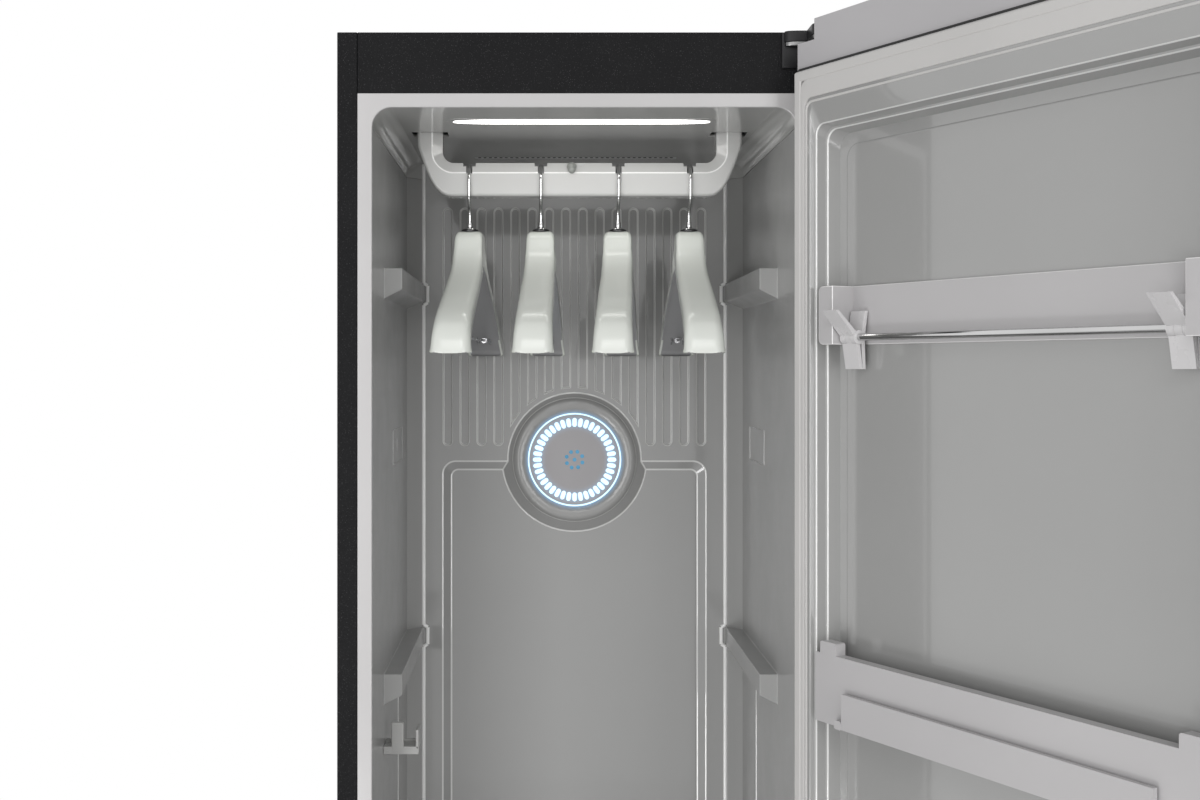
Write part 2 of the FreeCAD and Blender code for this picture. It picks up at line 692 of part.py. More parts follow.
def straight_edges(shape, axis, wanted):
    """Names of the straight edges along x, y or z whose middle is wanted."""
    names = []
    for number, edge in enumerate(shape.Edges, start=1):
        if edge.Curve.TypeId != "Part::GeomLine":
            continue
        run = edge.Vertexes[-1].Point - edge.Vertexes[0].Point
        if abs(getattr(run.normalize(), axis)) > 0.999 and wanted(edge.CenterOfMass):
            names.append(f"Edge{number}")
    return names


def round_edges(body, radius, axis, wanted):
    base = body.Tip
    edges = straight_edges(base.Shape, axis, wanted)
    fillet = body.newObject("PartDesign::Fillet", "Fillet")
    fillet.Base = (base, edges)
    bind(fillet, "Radius", radius)
    body.Tip = fillet
    doc.recompute()
    return body


def near(value, wanted):
    return abs(value - measure(wanted).number) < 0.01


# ------------------------------------------------------------ places

half = place("half_width", size.cabinet_width / 2)
front = place("front_edge", -size.cabinet_depth / 2)
rear = place("rear_edge", size.cabinet_depth / 2)
top = size.cabinet_height
skin = size.steel_skin
inner_half = place("inner_half", half - skin)
frame_half = place("frame_half", half - size.side_return - size.seam)
frame_top = place("frame_top", top - size.rail_height)
open_half = place("opening_half", half - size.opening_border)
ceiling = place("ceiling_level", frame_top - size.frame_header)
ceiling_back = place("ceiling_upper_face", ceiling + size.liner_wall)
liner_front = place("liner_front", front + size.frame_thickness)
back_rear = place("cavity_back_rear", rear - size.rear_space)
back_face = place("cavity_back_face", back_rear - size.back_wall)
chamfer_half = place("chamfer_half", open_half - size.liner_chamfer)
floor_top = size.floor_level
floor_under = place("floor_underside", floor_top - size.floor_thickness)
pan_top = place("pan_top", size.pan_level + size.pan_thickness)


# ------------------------------------------------------------ steel case

def make_feet():
    for_pan = []
    feet = []
    for side in (-1, 1):
        for end in (-1, 1):
            spot = (side * (half - size.foot_inset), end * (rear - size.foot_inset))
            pad = rod("Z", spot, size.foot_radius, (0, size.foot_pad_height))
            nut = doc.addObject("Part::Prism", "Nut")
            nut.Polygon = 6
            bind(nut, "Circumradius", size.foot_nut_width / math.sqrt(3))
            bind(nut, "Height", size.pan_level - size.foot_pad_height)
            put(nut, *spot, size.foot_pad_height)
            stud_end = size.foot_pad_height + size.foot_stud_length
            stud = rod("Z", spot, size.foot_stud_radius, (size.foot_pad_height, stud_end))
            feet.append(joined(pad, nut, stud))
            hole_radius = size.foot_stud_radius + size.foot_hole_clearance
            for_pan.append(rod("Z", spot, hole_radius, (0, stud_end)))
    node("levelling_feet", group(*feet))
    return for_pan


def make_base_pan(stud_holes):
    deep = (front + size.rail_thickness, rear - skin)
    tray = box(both(inner_half), deep, (size.pan_level, size.pan_level + size.pan_rim))
    inside = box(both(inner_half - skin), (deep[0] + skin, deep[1] - skin),
                 (pan_top, size.pan_level + size.pan_rim))
    node("base_pan", without(tray, inside, group(*stud_holes)))


def make_side_panel(name, side):
    high = (size.skirt_clearance, top)
    folded = box(on_side(side, half - size.side_return, half), (front, rear), high)
    hollow = box(on_side(side, half - size.side_return, inner_half), (front + skin, rear - skin),
                 high)
    body = body_from(without(folded, hollow))
    corner = side * half.number
    node(name, round_edges(body, size.side_edge_radius, "z",
                           lambda spot: near(spot.x, corner) and near(spot.y, front)))


def make_top_panel():
    deep = (front + size.rail_thickness, rear - skin)
    pieces = [box(both(inner_half), deep, (top - skin, top))]
    for side in (-1, 1):
        pieces.append(box(on_side(side, inner_half - skin, inner_half), deep,
                          (top - size.top_flange, top)))
    node("top_panel", joined(*pieces))


def make_back_panel():
    sheet_metal = box(both(frame_half), (rear - skin, rear), (size.pan_level, top - skin))
    slots = []
    across = (-size.vent_inset - size.vent_width, -size.vent_inset)
    for row in range(size.vent_count.number):
        level = size.vent_level + row * size.vent_pitch
        slots.append(box(across, (rear - 2 * skin, rear + skin), (level, level + size.vent_height)))
    hole = rod("Y", (gland_x, size.gland_level), size.gland_radius, (rear - 2 * skin, rear + skin))
    node("back_panel", without(sheet_metal, group(*slots, hole)))


def make_front_rails():
    wall = (front, front + size.rail_thickness)
    band = box(both(frame_half), wall, (frame_top, top))
    lip = box(both(frame_half), (front, front + size.rail_lip),
              (frame_top, frame_top + size.rail_thickness))
    node("top_front_rail", joined(band, lip))
    node("kick_plate", box(both(frame_half), wall, (size.pan_level, size.frame_bottom)))


def make_front_frame():
    deep = (front, liner_front)
    plate = box(both(frame_half), deep, (size.frame_bottom, frame_top))
    opening = block(both(open_half), deep, (size.opening_bottom, ceiling))
    round_edges(opening, size.corner_radius, "y", lambda spot: near(spot.z, ceiling))
    node("front_frame", without(plate, opening))


# ------------------------------------------------------------ cavity liner

def cavity_form(offset):
    """The inside of the cavity, or with an offset the outside of its walls."""
    side = open_half + offset
    bevel_start = back_face - size.liner_chamfer + (ROOT_TWO - 1) * measure(offset)
    bevel_end = chamfer_half + ROOT_TWO * measure(offset)
    plan = [(-side, liner_front), (side, liner_front), (side, bevel_start), (bevel_end, back_face),
            (-bevel_end, back_face), (-side, bevel_start)]
    body = prism("XY", plan, (floor_under, ceiling + offset))
    return round_edges(body, size.corner_radius + offset, "y",
                       lambda spot: near(spot.z, ceiling + offset) and near(abs(spot.x), side))


def make_liner():
    cavity = cavity_form(0)
    jacket = cavity_form(size.liner_wall)
    shell = without(jacket, cavity)
    corner_start = ceiling - size.corner_radius
    deep = (liner_front, back_face)
    for name, side in (("liner_left_wall", -1), ("liner_right_wall", 1)):
        wall = overlap(shell, box(on_side(side, 0, half), deep, (floor_under, corner_start)))
        lugs = [shelf_lug(side, level) for level in (upper_lug_level, lower_lug_level)]
        node(name, overlap(joined(wall, *lugs), jacket))
    roof = overlap(shell, box(both(half), deep, (corner_start, ceiling_back)))
    node("liner_ceiling", joined(without(roof, *ceiling_openings()), lamp_box()))
    slab = overlap(cavity, box(both(half), deep, (floor_under, floor_top)))
    node("cavity_floor", without(slab, filter_slot(), grille_opening()))


def shelf_lug(side, level):
    wall, nose = side * open_half, side * (open_half - size.lug_proud)
    under = level - size.lug_height
    outline = [(wall, level), (nose, level), (nose, under), (wall, under - size.lug_slope)]
    return prism("XZ", outline, (front + size.lug_setback, back_face))


def ceiling_openings():
    through = (ceiling - size.liner_wall, ceiling_back + size.liner_wall)
    tools = [lens_form(size.disc_fit, through)]
    for side in (-1, 1):
        reach = size.bar_stroke + size.arm_slot_play
        across = on_side(side, bar_half - size.arm_width - reach, bar_half + reach)
        tools.append(box(across, around(bar_y, size.bar_depth / 2 + size.arm_slot_side), through))
    row_y = back_face - size.drip_row_rear
    first = -(size.drip_hole_count.number - 1) / 2
    holes = []
    for number in range(size.drip_hole_count.number):
        x = (first + number) * size.drip_hole_pitch
        holes.append(rod("Z", (x, row_y), size.drip_hole_radius, through))
    for side in (-1, 1):
        x = side * (size.drip_end_pitches - first) * size.drip_hole_pitch
        holes.append(rod("Z", (x, row_y), size.drip_hole_radius, through))
    return [*tools, group(*holes)]


def lens_form(clearance, span):
    """The pointed oval of the lamp: the overlap of two large discs."""
    long_half = size.lamp_half_length
    wide_half = size.lamp_half_width
    radius = (long_half * long_half + wide_half * wide_half) / (2 * wide_half)
    middle = front + size.lamp_setback
    discs = []
    for side in (-1, 1):
        discs.append(rod("Z", (0, middle + side * (radius - wide_half)), radius + clearance, span))
    return overlap(*discs)


def lamp_box():
    """The box over the lamp, moulded on the ceiling."""
    middle = front + size.lamp_setback
    half_long = size.lamp_half_length + size.liner_wall
    half_wide = size.lamp_half_width + size.liner_wall
    box_top = ceiling_back + size.lamp_cover_height
    cover = box(both(half_long), around(middle, half_wide), (ceiling_back, box_top))
    inside = box(both(half_long - size.liner_wall), around(middle, half_wide - size.liner_wall),
                 (ceiling_back, box_top - size.liner_wall))
    return without(cover, inside)


def filter_slot():
    return box(both(size.filter_half_width + size.filter_play),
               around(filter_y, size.filter_thickness / 2 + size.filter_play), (floor_under, floor_top))


def grille_opening():
    return box(both(size.grille_half_width), around(grille_y, size.grille_depth / 2),
               (floor_under, floor_top))


def make_liner_back():
    wall_half = chamfer_half + 2 * size.liner_wall
    wall = box(both(wall_half), (back_face, back_rear), (floor_under, ceiling_back))
    sunk = back_face + size.panel_sink
    panel = sunk_panel(sunk)
    seat = cone("Y", ring_spot, size.pedestal_radius,
                size.pedestal_radius + size.pedestal_spread * (size.pedestal_rise + size.panel_sink),
                (ring_seat, sunk))
    hole = rod("Y", ring_spot, size.outlet_hole_radius, (ring_seat, back_rear))
    node("liner_back_panel", without(joined(without(wall, panel, *wall_grooves()), seat), hole))


def sunk_panel(sunk):
    """The room of the sunk panel: a rounded rectangle that narrows to a smaller one."""
    half_wide = chamfer_half - size.panel_margin
    low = floor_top + size.panel_foot
    high = ring_level - size.panel_drop
    border = size.panel_border
    body = new_body()
    mouth = rounded_rectangle(new_sketch(body, "XZ", -back_face), half_wide, low, high, size.panel_corner)
    foot = rounded_rectangle(new_sketch(body, "XZ", -sunk), half_wide - border, low + border,
                             high - border, size.panel_inner_corner)
    loft = body.newObject("PartDesign::AdditiveLoft", "Room")
    loft.Profile = mouth
    loft.Sections = [foot]
    loft.Ruled = True
    doc.recompute()
    return body


def rounded_rectangle(sketch, half_wide, low, high, radius):
    side = half_wide - radius
    lower = low + radius
    upper = high - radius
    return draw(sketch, [(-side, low), (side, low), (half_wide, lower), (half_wide, upper), (side, high),
                         (-side, high), (-half_wide, upper), (-half_wide, lower)],
                {1: (radius, (side, lower), True), 3: (radius, (side, upper), True),
                 5: (radius, (-side, upper), True), 7: (radius, (-side, lower), True)})


def wall_grooves():
    """Upright grooves; those in the middle end on a circle round the outlet."""
    deep = (back_face, back_face + size.groove_depth)
    end_radius = size.groove_width / 2
    count = size.groove_count.number
    first_short = (count - size.short_groove_count.number) // 2
    last_short = count - first_short - 1
    grooves = []
    for number in range(count):
        x = (number - (count - 1) / 2) * size.groove_pitch
        outer = number < first_short or number > last_short
        low = ring_level + size.groove_rise + end_radius if outer else ring_level
        high = ceiling - size.groove_drop - end_radius
        parts = [box(around(x, end_radius), deep, (low, high)), rod("Y", (x, high), end_radius, deep)]
        if outer:
            parts.append(rod("Y", (x, low), end_radius, deep))
        grooves.append(joined(*parts))
    middle = group(*grooves[first_short:last_short + 1])
    return [*grooves[:first_short], without(middle, rod("Y", ring_spot, size.groove_ring_radius, deep)),
            *grooves[last_short + 1:]]


# ------------------------------------------------------------ steam outlet ring

def make_ring():
    lip = ring_seat - size.bezel_lip
    crest = ring_seat - size.bezel_height
    shoulder = crest + size.bezel_fall
    outer_shoulder = (size.pedestal_radius + size.bezel_crest_radius) / 2
    inner_shoulder = (size.bezel_inner_radius + size.bezel_crest_radius) / 2
    node("ring_bezel", turned([
        (ring_seat, size.bezel_inner_radius), (ring_seat, size.pedestal_radius),
        (lip, size.pedestal_radius), (shoulder, outer_shoulder), (crest, size.bezel_crest_radius),
        (shoulder, inner_shoulder), (lip, size.bezel_inner_radius)], ring_level))
    glow_inner = size.bezel_inner_radius - size.glow_width
    node("ring_light", without(rod("Y", ring_spot, size.bezel_inner_radius, (lip, ring_seat)),
                               rod("Y", ring_spot, glow_inner, (lip, ring_seat))))
    disc_face = ring_seat - size.disc_thickness
    deep = (disc_face, ring_seat)
    holes = [rod("Y", ring_spot, size.steam_hole_radius, deep)]
    count = size.steam_hole_count.number
    for number in range(count):
        angle = math.radians(size.steam_hole_turn.number + 360 / count * number)
        spot = (size.steam_hole_circle * math.cos(angle),
                ring_level + size.steam_hole_circle * math.sin(angle))
        holes.append(rod("Y", spot, size.steam_hole_radius, deep))
    disc = body_from(without(rod("Y", ring_spot, glow_inner - size.disc_fit, deep), group(*holes)))
    node("steam_disc", dash_pattern(disc, "PartDesign::Pocket", 0, disc_face, size.disc_thickness))
    lens_rear = ring_seat + size.lens_back
    plate_radius = size.outlet_hole_radius - size.disc_fit
    plate_hole = size.steam_hole_circle + 2 * size.steam_hole_radius
    plate = body_from(without(rod("Y", ring_spot, plate_radius, (ring_seat, lens_rear)),
                              rod("Y", ring_spot, plate_hole, (ring_seat, lens_rear))))
    node("dash_lights", dash_pattern(plate, "PartDesign::Pad", size.disc_fit / 2, ring_seat,
                                     size.disc_thickness - size.dash_recess))
    make_plenum(lens_rear, plate_radius)


def dash_pattern(body, feature_type, clearance, level, depth):
    """Rounded windows in a circle, cut behind a level or raised in front of it."""
    sketch = new_sketch(body, "XZ", -level, ring_level)
    radius = size.dash_width / 2 - clearance
    low = size.dash_inner_radius + size.dash_width / 2
    high = size.dash_outer_radius - size.dash_width / 2
    draw(sketch, [(radius, low), (radius, high), (-radius, high), (-radius, low)],
         {1: (radius, (0, high), True), 3: (radius, (0, low), True)})
    first = body.newObject(feature_type, "Window")
    first.Profile = sketch
    bind(first, "Length", depth)
    doc.recompute()
    pattern = body.newObject("PartDesign::PolarPattern", "Windows")
    pattern.Originals = [first]
    pattern.Axis = (sketch, ["N_Axis"])
    pattern.Angle = 360
    bind(pattern, "Occurrences", size.dash_count)
    body.Tip = pattern
    doc.recompute()
    return body


def make_plenum(start, radius):
    """The steam chamber behind the outlet, with a spigot for the steam pipe."""
    end = start + size.plenum_depth
    cup = rod("Y", ring_spot, radius, (start, end))
    flange = rod("Y", ring_spot, size.outlet_hole_radius + size.plenum_flange,
                 (back_rear, back_rear + size.plenum_wall))
    spigot_spot = (pipe_y, ring_level)
    spigot_end = -radius - size.spigot_length
    spigot = rod("X", spigot_spot, size.pipe_radius + size.plenum_wall,
                 (spigot_end, -radius + size.plenum_wall))
    chamber = rod("Y", ring_spot, radius - size.plenum_wall, (start, end - size.plenum_wall))
    bore = rod("X", spigot_spot, size.pipe_radius, (spigot_end, -radius / 2))
    node("steam_plenum", without(joined(cup, flange, spigot), chamber, bore))


def make_steam_pipe():
    """From the top of the steam generator up behind the liner and across to the chamber."""
    x = -size.pipe_x
    start = boiler_top
    end_x = -(size.outlet_hole_radius - size.disc_fit) - size.pipe_radius
    bend = size.pipe_bend
    body = new_body()
    path = new_sketch(body, "XZ", -pipe_y)
    draw(path, [(x, start), (x, ring_level - bend), (x + bend, ring_level),
                (end_x, ring_level)],
         {1: (bend, (x + bend, ring_level - bend), False)}, closed=False)
    section = new_sketch(body, "XY", start)
    draw_circle(section, (x, pipe_y), size.pipe_radius)
    draw_circle(section, (x, pipe_y), size.pipe_bore)
    pipe = body.newObject("PartDesign::AdditivePipe", "Pipe")
    pipe.Profile = section
    pipe.Spine = (path, [])
    doc.recompute()
    node("steam_pipe", body)


# ------------------------------------------------------------ lamp and catch

def make_lamp():
    node("lamp_lens", lens_form(0, (ceiling - size.lamp_proud, ceiling_back)))


def make_side_catch():
    """Small catch on the left wall: a plate, a taller middle tab and two prongs."""
    wall = -open_half
    face = wall + size.catch_plate
    deep = (front + size.catch_setback, front + size.catch_setback + size.catch_depth)
    middle = (deep[0] + deep[1]) / 2
    catch_level = lower_lug_level - size.catch_drop
    high = (catch_level, catch_level + size.catch_height)
    arm_level = catch_level + size.catch_height / 2
    plate = box((wall, face), deep, high)
    tip = wall + size.catch_reach
    tab_deep = around(middle, size.catch_tab_width / 2)
    arm = box((face, tip), tab_deep, around(arm_level, size.catch_prong / 2))
    tab = box((tip - size.catch_prong, tip), tab_deep, (arm_level, high[1]))
    prongs = [box((face, tip - size.catch_prong), (y, y + size.catch_prong),
                  around(arm_level, size.catch_prong / 2))
              for y in (deep[0], deep[1] - size.catch_prong)]
    node("side_catch", joined(plate, arm, tab, *prongs))


# ------------------------------------------------------------ moving hanger bar

def make_hanger_bar():
    deep = around(bar_y, size.bar_depth / 2)
    outer = bar_half
    inner = outer - size.arm_width
    corner = outer - size.bar_taper
    bend = ceiling - size.bar_taper_drop
    body = prism("XZ", [
        (-corner, bar_bottom), (corner, bar_bottom), (outer, bend), (outer, carriage_level),
        (inner, carriage_level), (inner, bar_top), (-inner, bar_top), (-inner, carriage_level),
        (-outer, carriage_level), (-outer, bend)], deep)
    round_edges(body, size.bar_bend_radius, "y",
                lambda spot: near(spot.z, bar_bottom) or near(spot.z, bend))
    round_edges(body, size.bar_inner_radius, "y",
                lambda spot: near(spot.z, bar_top) and near(abs(spot.x), inner))
    straight = inner - size.bar_inner_radius
    channel_half = size.bar_depth / 2 - size.bar_bevel_depth - size.bar_wall
    channel = box(both(straight), around(bar_y, channel_half), (bar_bottom + size.bar_wall, bar_top))
    bevels = []
    for side in (-1, 1):
        face = bar_y + side * size.bar_depth / 2
        bevels.append(prism("YZ", [(face, bar_top - size.bar_bevel_height), (face, bar_top),
                                   (face - side * size.bar_bevel_depth, bar_top)], both(straight)))
    notches = [hook_notch(x, deep) for x in hook_places]
    node("hanger_bar", without(body, channel, *bevels, *notches))


def hook_notch(x, deep):
    half_wide = size.notch_width / 2
    half_narrow = size.wire_radius + size.notch_play
    step = bar_top - size.notch_step
    return prism("XZ", [
        (x - half_wide, bar_top), (x - half_wide, step), (x - half_narrow, step - size.notch_play),
        (x - half_narrow, notch_floor), (x + half_narrow, notch_floor),
        (x + half_narrow, step - size.notch_play), (x + half_wide, step), (x + half_wide, bar_top)], deep)


def make_drive():
    plate_top = carriage_level + size.carriage_thickness
    half_deep = size.bar_depth / 2 + size.carriage_overhang
    deep = around(bar_y, half_deep)
    rod_level = plate_top + size.guide_rise
    plate = box(both(bar_half), deep, (carriage_level, plate_top))
    yoke_end = crank_y + size.crank_disc_radius
    yoke = box(both(size.yoke_half_width), (bar_y, yoke_end), (carriage_level, plate_top))
    slot_half = size.crank_throw + size.crank_pin_radius + size.yoke_slot_play
    slot = box(both(size.yoke_half_slot), around(crank_y, slot_half), (carriage_level, plate_top))
    blocks = []
    bores = []
    rods = []
    ends = []
    block_top = plate_top + size.bearing_height
    end_face = bar_half + size.guide_end_gap
    for side in (-1, 1):
        x = side * size.bearing_x
        blocks.append(box(around(x, size.bearing_length / 2), deep, (plate_top, block_top)))
        across = on_side(side, end_face, end_face + size.guide_end_length)
        ends.append(box(across, deep, (ceiling_back, block_top)))
        spot = (bar_y + side * size.guide_spread, rod_level)
        rods.append(rod("X", spot, size.guide_radius, both(end_face + size.guide_end_length)))
        bores.append(rod("X", spot, size.guide_radius + size.running_fit, both(bar_half)))
    node("hanger_carriage", without(joined(plate, yoke, *blocks), slot, *bores))
    node("hanger_guides", joined(*rods, *ends))
    make_motor(plate_top)


def make_motor(plate_top):
    axis = (0, crank_y)
    disc_level = plate_top + size.crank_gap
    disc_top = disc_level + size.crank_disc_height
    bracket_level = disc_top + size.bracket_gap
    bracket_top = bracket_level + size.bracket_plate
    shaft_end = bracket_top + size.motor_height / 2
    disc = rod("Z", axis, size.crank_disc_radius, (disc_level, disc_top))
    pin = rod("Z", (0, crank_y + size.crank_throw), size.crank_pin_radius,
              (carriage_level - size.crank_pin_proud, disc_level))
    shaft = rod("Z", axis, size.fan_shaft_radius, (disc_top, shaft_end))
    node("motor_crank", joined(disc, pin, shaft))
    deep = around(crank_y, size.motor_radius + size.bracket_plate)
    pieces = [box(both(size.bracket_half_width), deep, (bracket_level, bracket_top))]
    for side in (-1, 1):
        across = on_side(side, size.bracket_half_width - size.bracket_plate, size.bracket_half_width)
        pieces.append(box(across, deep, (ceiling_back, bracket_level)))
    pieces.append(rod("Z", axis, size.motor_radius, (bracket_level, bracket_top + size.motor_height)))
    bore = rod("Z", axis, size.fan_shaft_radius + size.running_fit, (bracket_level, shaft_end))
    node("hanger_motor", without(joined(*pieces), bore))


# ------------------------------------------------------------ hooks and hangers

def make_hook():
    """One hook about its crown's middle, bent from wire, with a button on the stem."""
    crown = size.crown_radius
    bend = size.hook_bend_radius
    drop = -size.hook_drop
    slant = (crown - bend) / SIN_60
    first_end = (-crown + bend / 2, drop - bend * SIN_60)
    second_start = (-bend / 2, first_end[1] - slant / 2)
    stem_top = second_start[1] - bend * SIN_60
    tip = (root(crown * crown - size.hook_tip_drop * size.hook_tip_drop), -size.hook_tip_drop)
    body = new_body()
    path = new_sketch(body, "YZ", 0)
    draw(path, [(0, -stem_end), (0, stem_top), second_start, first_end, (-crown, drop), (-crown, 0), tip],
         {1: (bend, (-bend, stem_top), True), 3: (bend, (bend - crown, drop), False),
          5: (crown, (0, 0), False)}, closed=False)
    section = new_sketch(body, "XY", -stem_end)
    draw_circle(section, (0, 0), size.wire_radius)
    pipe = body.newObject("PartDesign::AdditivePipe", "Wire")
    pipe.Profile = section
    pipe.Spine = (path, [])
    doc.recompute()
    button = rod("Z", (0, 0), size.stem_head_radius, (-stem_end, -stem_end + size.stem_head_height))
    return joined(body, button)


def make_hooks():
    node("hanger_hooks", group(*[put(make_hook(), x, bar_y, crown_level) for x in hook_places]))


def hanger_form(inset, hollow):
    """Side view and plan view of a hanger; the hollow one is smaller and open below."""
    length = size.hanger_half_length - inset
    run = size.hanger_shoulder_run - size.hanger_foot_half
    fall = size.hanger_shoulder_fall - size.hanger_foot_fall
    slope_inset = measure(inset) * root(run * run + fall * fall) / run
    foot = (size.hanger_foot_half - inset, -size.hanger_foot_fall - slope_inset)
    bend = (size.hanger_shoulder_run, -size.hanger_shoulder_fall - slope_inset)
    end_fall = -size.hanger_end_fall - inset
    tip = -size.hanger_tip_fall
    right = [(size.hanger_neck_half - inset, -measure(inset)), foot, bend, (length, end_fall), (length, tip)]
    if hollow:
        lower = []
    else:
        rim = length - size.hanger_end_rim
        right = [*right, (rim, tip), (rim, -size.hanger_edge_fall)]
        lower = [(0, -size.hanger_lower_fall)]
    left = [(-y, z) for y, z in reversed(right)]
    body = prism("YZ", [*right, *lower, *left], both(size.hanger_tip_width))
    round_edges(body, size.hanger_round - inset, "x", lambda spot: near(spot.z, end_fall))
    neck_half = size.hanger_neck_width / 2 - inset
    tip_half = size.hanger_tip_width / 2 - inset
    plan = prism("XY", [(neck_half, 0), (tip_half, length), (-tip_half, length), (-neck_half, 0),
                        (-tip_half, -length), (tip_half, -length)], (tip, 0))
    return overlap(body, plan)


def make_hanger():
    """One hanger about the middle of its top: an upside-down channel with a cross bar."""
    shell = without(hanger_form(0, False), hanger_form(size.hanger_wall, True))
    axis = (0, 0)
    cross_half = size.trouser_bar_half
    bar_level = -size.trouser_bar_fall
    cross_bar = rod("Y", (0, bar_level), size.trouser_bar_radius, both(cross_half))
    ears = []
    for side in (-1, 1):
        deep = on_side(side, cross_half - size.ear_thickness, cross_half)
        ear_foot = bar_level - size.trouser_bar_radius
        ear = box(both(size.ear_width / 2), deep, (ear_foot, bar_level + size.ear_height))
        ears.append(overlap(box(both(size.hanger_tip_width / 2), deep, (ear_foot, 0)),
                            joined(hanger_form(0, False), ear)))
    boss = rod("Z", axis, size.neck_block_radius, (-size.neck_block_depth, 0))
    collar = rod("Z", axis, size.collar_radius, (0, size.collar_height))
    ferrule = rod("Z", axis, size.ferrule_radius, (0, size.collar_height + size.ferrule_height))
    bore = rod("Z", axis, size.wire_radius + size.running_fit,
               (-size.neck_block_depth, size.collar_height + size.ferrule_height))
    return without(joined(shell, cross_bar, *ears, boss, collar, ferrule), bore)


def make_hangers():
    turns = (size.hanger_turn_1, size.hanger_turn_2, size.hanger_turn_3, size.hanger_turn_4)
    for number, (x, turn) in enumerate(zip(hook_places, turns), start=1):
        hanger = make_hanger()
        hanger.Placement.Rotation = FreeCAD.Rotation(FreeCAD.Vector(0, 0, 1), turn.number)
        node(f"hanger_{number}", put(hanger, x, bar_y, crown_level - size.hanger_drop))


# ------------------------------------------------------------ door, drawn shut

def swing(solid):
    """Turn a door piece from shut to its rest pose about the hinge pins."""
    turn = size.door_open_angle
    solid.Placement.Rotation = FreeCAD.Rotation(FreeCAD.Vector(0, 0, 1), turn.number)
    bind(solid, "Placement.Base.x", hinge_x - hinge_x * cosine(turn) + hinge_y * sine(turn))
    bind(solid, "Placement.Base.y", hinge_y - hinge_x * sine(turn) - hinge_y * cosine(turn))
    return solid


def make_door_case():
    deep = (glass_back, door_back)
    wall = size.door_skin
    whole = box(both(door_half), deep, (size.door_bottom, top))
    notch = box((notch_side, door_half), (door_front, door_back), (notch_level, top))
    glass = box(both(door_half), (door_front, glass_back), (size.door_bottom, top))
    node("door_front_panel", swing(without(glass, notch)))
    inside = box(both(door_half - wall), (glass_back + wall, door_back - wall),
                 (size.door_bottom + wall, top - wall))
    corner = (notch_side - wall, door_half)
    block_height = size.hinge_pin_reach + size.hinge_block_wall
    upper_block = box(corner, deep, (notch_level - block_height, top))
    lower_block = box(corner, deep, (size.door_bottom, size.door_bottom + block_height))
    grip_high = (size.grip_level, size.grip_level + size.grip_length)
    grip_back = glass_back + size.grip_width
    grip = box((-door_half, -door_half + size.grip_depth), (glass_back, grip_back), grip_high)
    grip_block = box((-door_half, -door_half + size.grip_depth + wall), (glass_back, grip_back + wall),
                     (grip_high[0] - wall, grip_high[1] + wall))
    hollow = without(inside, upper_block, lower_block, grip_block)
    mouth = box(both(mouth_half + size.liner_wall), (door_back - 2 * wall, door_back),
                (mouth_low - size.liner_wall, mouth_high + size.liner_wall))
    bore_radius = size.hinge_pin_radius + size.running_fit
    pin_spot = (hinge_x, hinge_y)
    bores = [rod("Z", pin_spot, bore_radius, (notch_level - size.hinge_pin_reach - wall, notch_level)),
             rod("Z", pin_spot, bore_radius,
                 (size.door_bottom, size.door_bottom + size.hinge_pin_reach + wall))]
    node("door_shell", swing(without(whole, notch, hollow, mouth, grip, *bores)))


def make_door_liner():
    border = box(both(border_half), (door_back, door_back + size.border_proud), (border_low, border_high))
    tub = box(both(mouth_half + size.liner_wall), (pan_floor - size.liner_wall, door_back),
              (mouth_low - size.liner_wall, mouth_high + size.liner_wall))
    hollow = tapered_box((pan_floor, door_back + size.border_proud), both(floor_half),
                         (mouth_low + size.pan_slope, mouth_high - size.pan_top_slope),
                         both(mouth_half), (mouth_low, mouth_high))
    node("door_liner", swing(without(joined(border, tub), hollow)))


def make_gasket():
    outer_half = door_half - size.gasket_inset
    high = (gasket_low, gasket_high)
    shoulder = door_back + size.gasket_shoulder
    proud = door_back + size.gasket_proud
    bevel = size.gasket_bevel
    base = box(both(outer_half), (door_back, shoulder), high)
    crown = tapered_box((shoulder, proud), both(outer_half), high,
                        both(outer_half - bevel), (high[0] + bevel, high[1] - bevel))
    inner_half_width = outer_half - size.gasket_width
    inside = box(both(inner_half_width), (door_back, proud),
                 (high[0] + size.gasket_width, high[1] - size.gasket_width))
    node("door_gasket", swing(without(joined(base, crown), inside)))


def make_hinges():
    """Each hinge is a plate on the cabinet, an arm and a pin that stands in the door."""
    arm = size.hinge_arm_inner
    tail = size.hinge_arm_tail
    plate_face = front - size.hinge_plate
    right = hinge_x + size.hinge_inset
    plan = [(hinge_x - arm, hinge_y), (hinge_x + arm, hinge_y), (right, plate_face - 2 * size.hinge_plate),
            (right, plate_face), (hinge_x - tail, plate_face),
            (hinge_x - tail, plate_face - size.hinge_tail_thickness),
            (notch_side + 2 * size.rest_gap, plate_face - size.hinge_root_depth),
            (hinge_x - arm, plate_face - size.hinge_shoulder_depth)]
    spot = (hinge_x, hinge_y)
    upper = top - size.hinge_air
    lower = size.door_bottom - size.hinge_air
    reach = size.hinge_pin_reach
    fittings = (("hinge_top", upper, upper + size.hinge_plate_rise, (notch_level - reach, upper)),
                ("hinge_bottom", lower, lower + size.hinge_foot_rise,
                 (lower - size.hinge_arm_thickness, size.door_bottom + reach)))
    for name, arm_top, plate_top, pin_span in fittings:
        arm_span = (arm_top - size.hinge_arm_thickness, arm_top)
        plate = box((right - size.hinge_plate_width, right), (plate_face, front),
                    (plate_top - size.hinge_plate_height, plate_top))
        node(name, joined(prism("XY", plan, arm_span), rod("Z", spot, arm, arm_span), plate,
                          rod("Z", spot, size.hinge_pin_radius, pin_span)))


# ------------------------------------------------------------ trouser fittings on the door

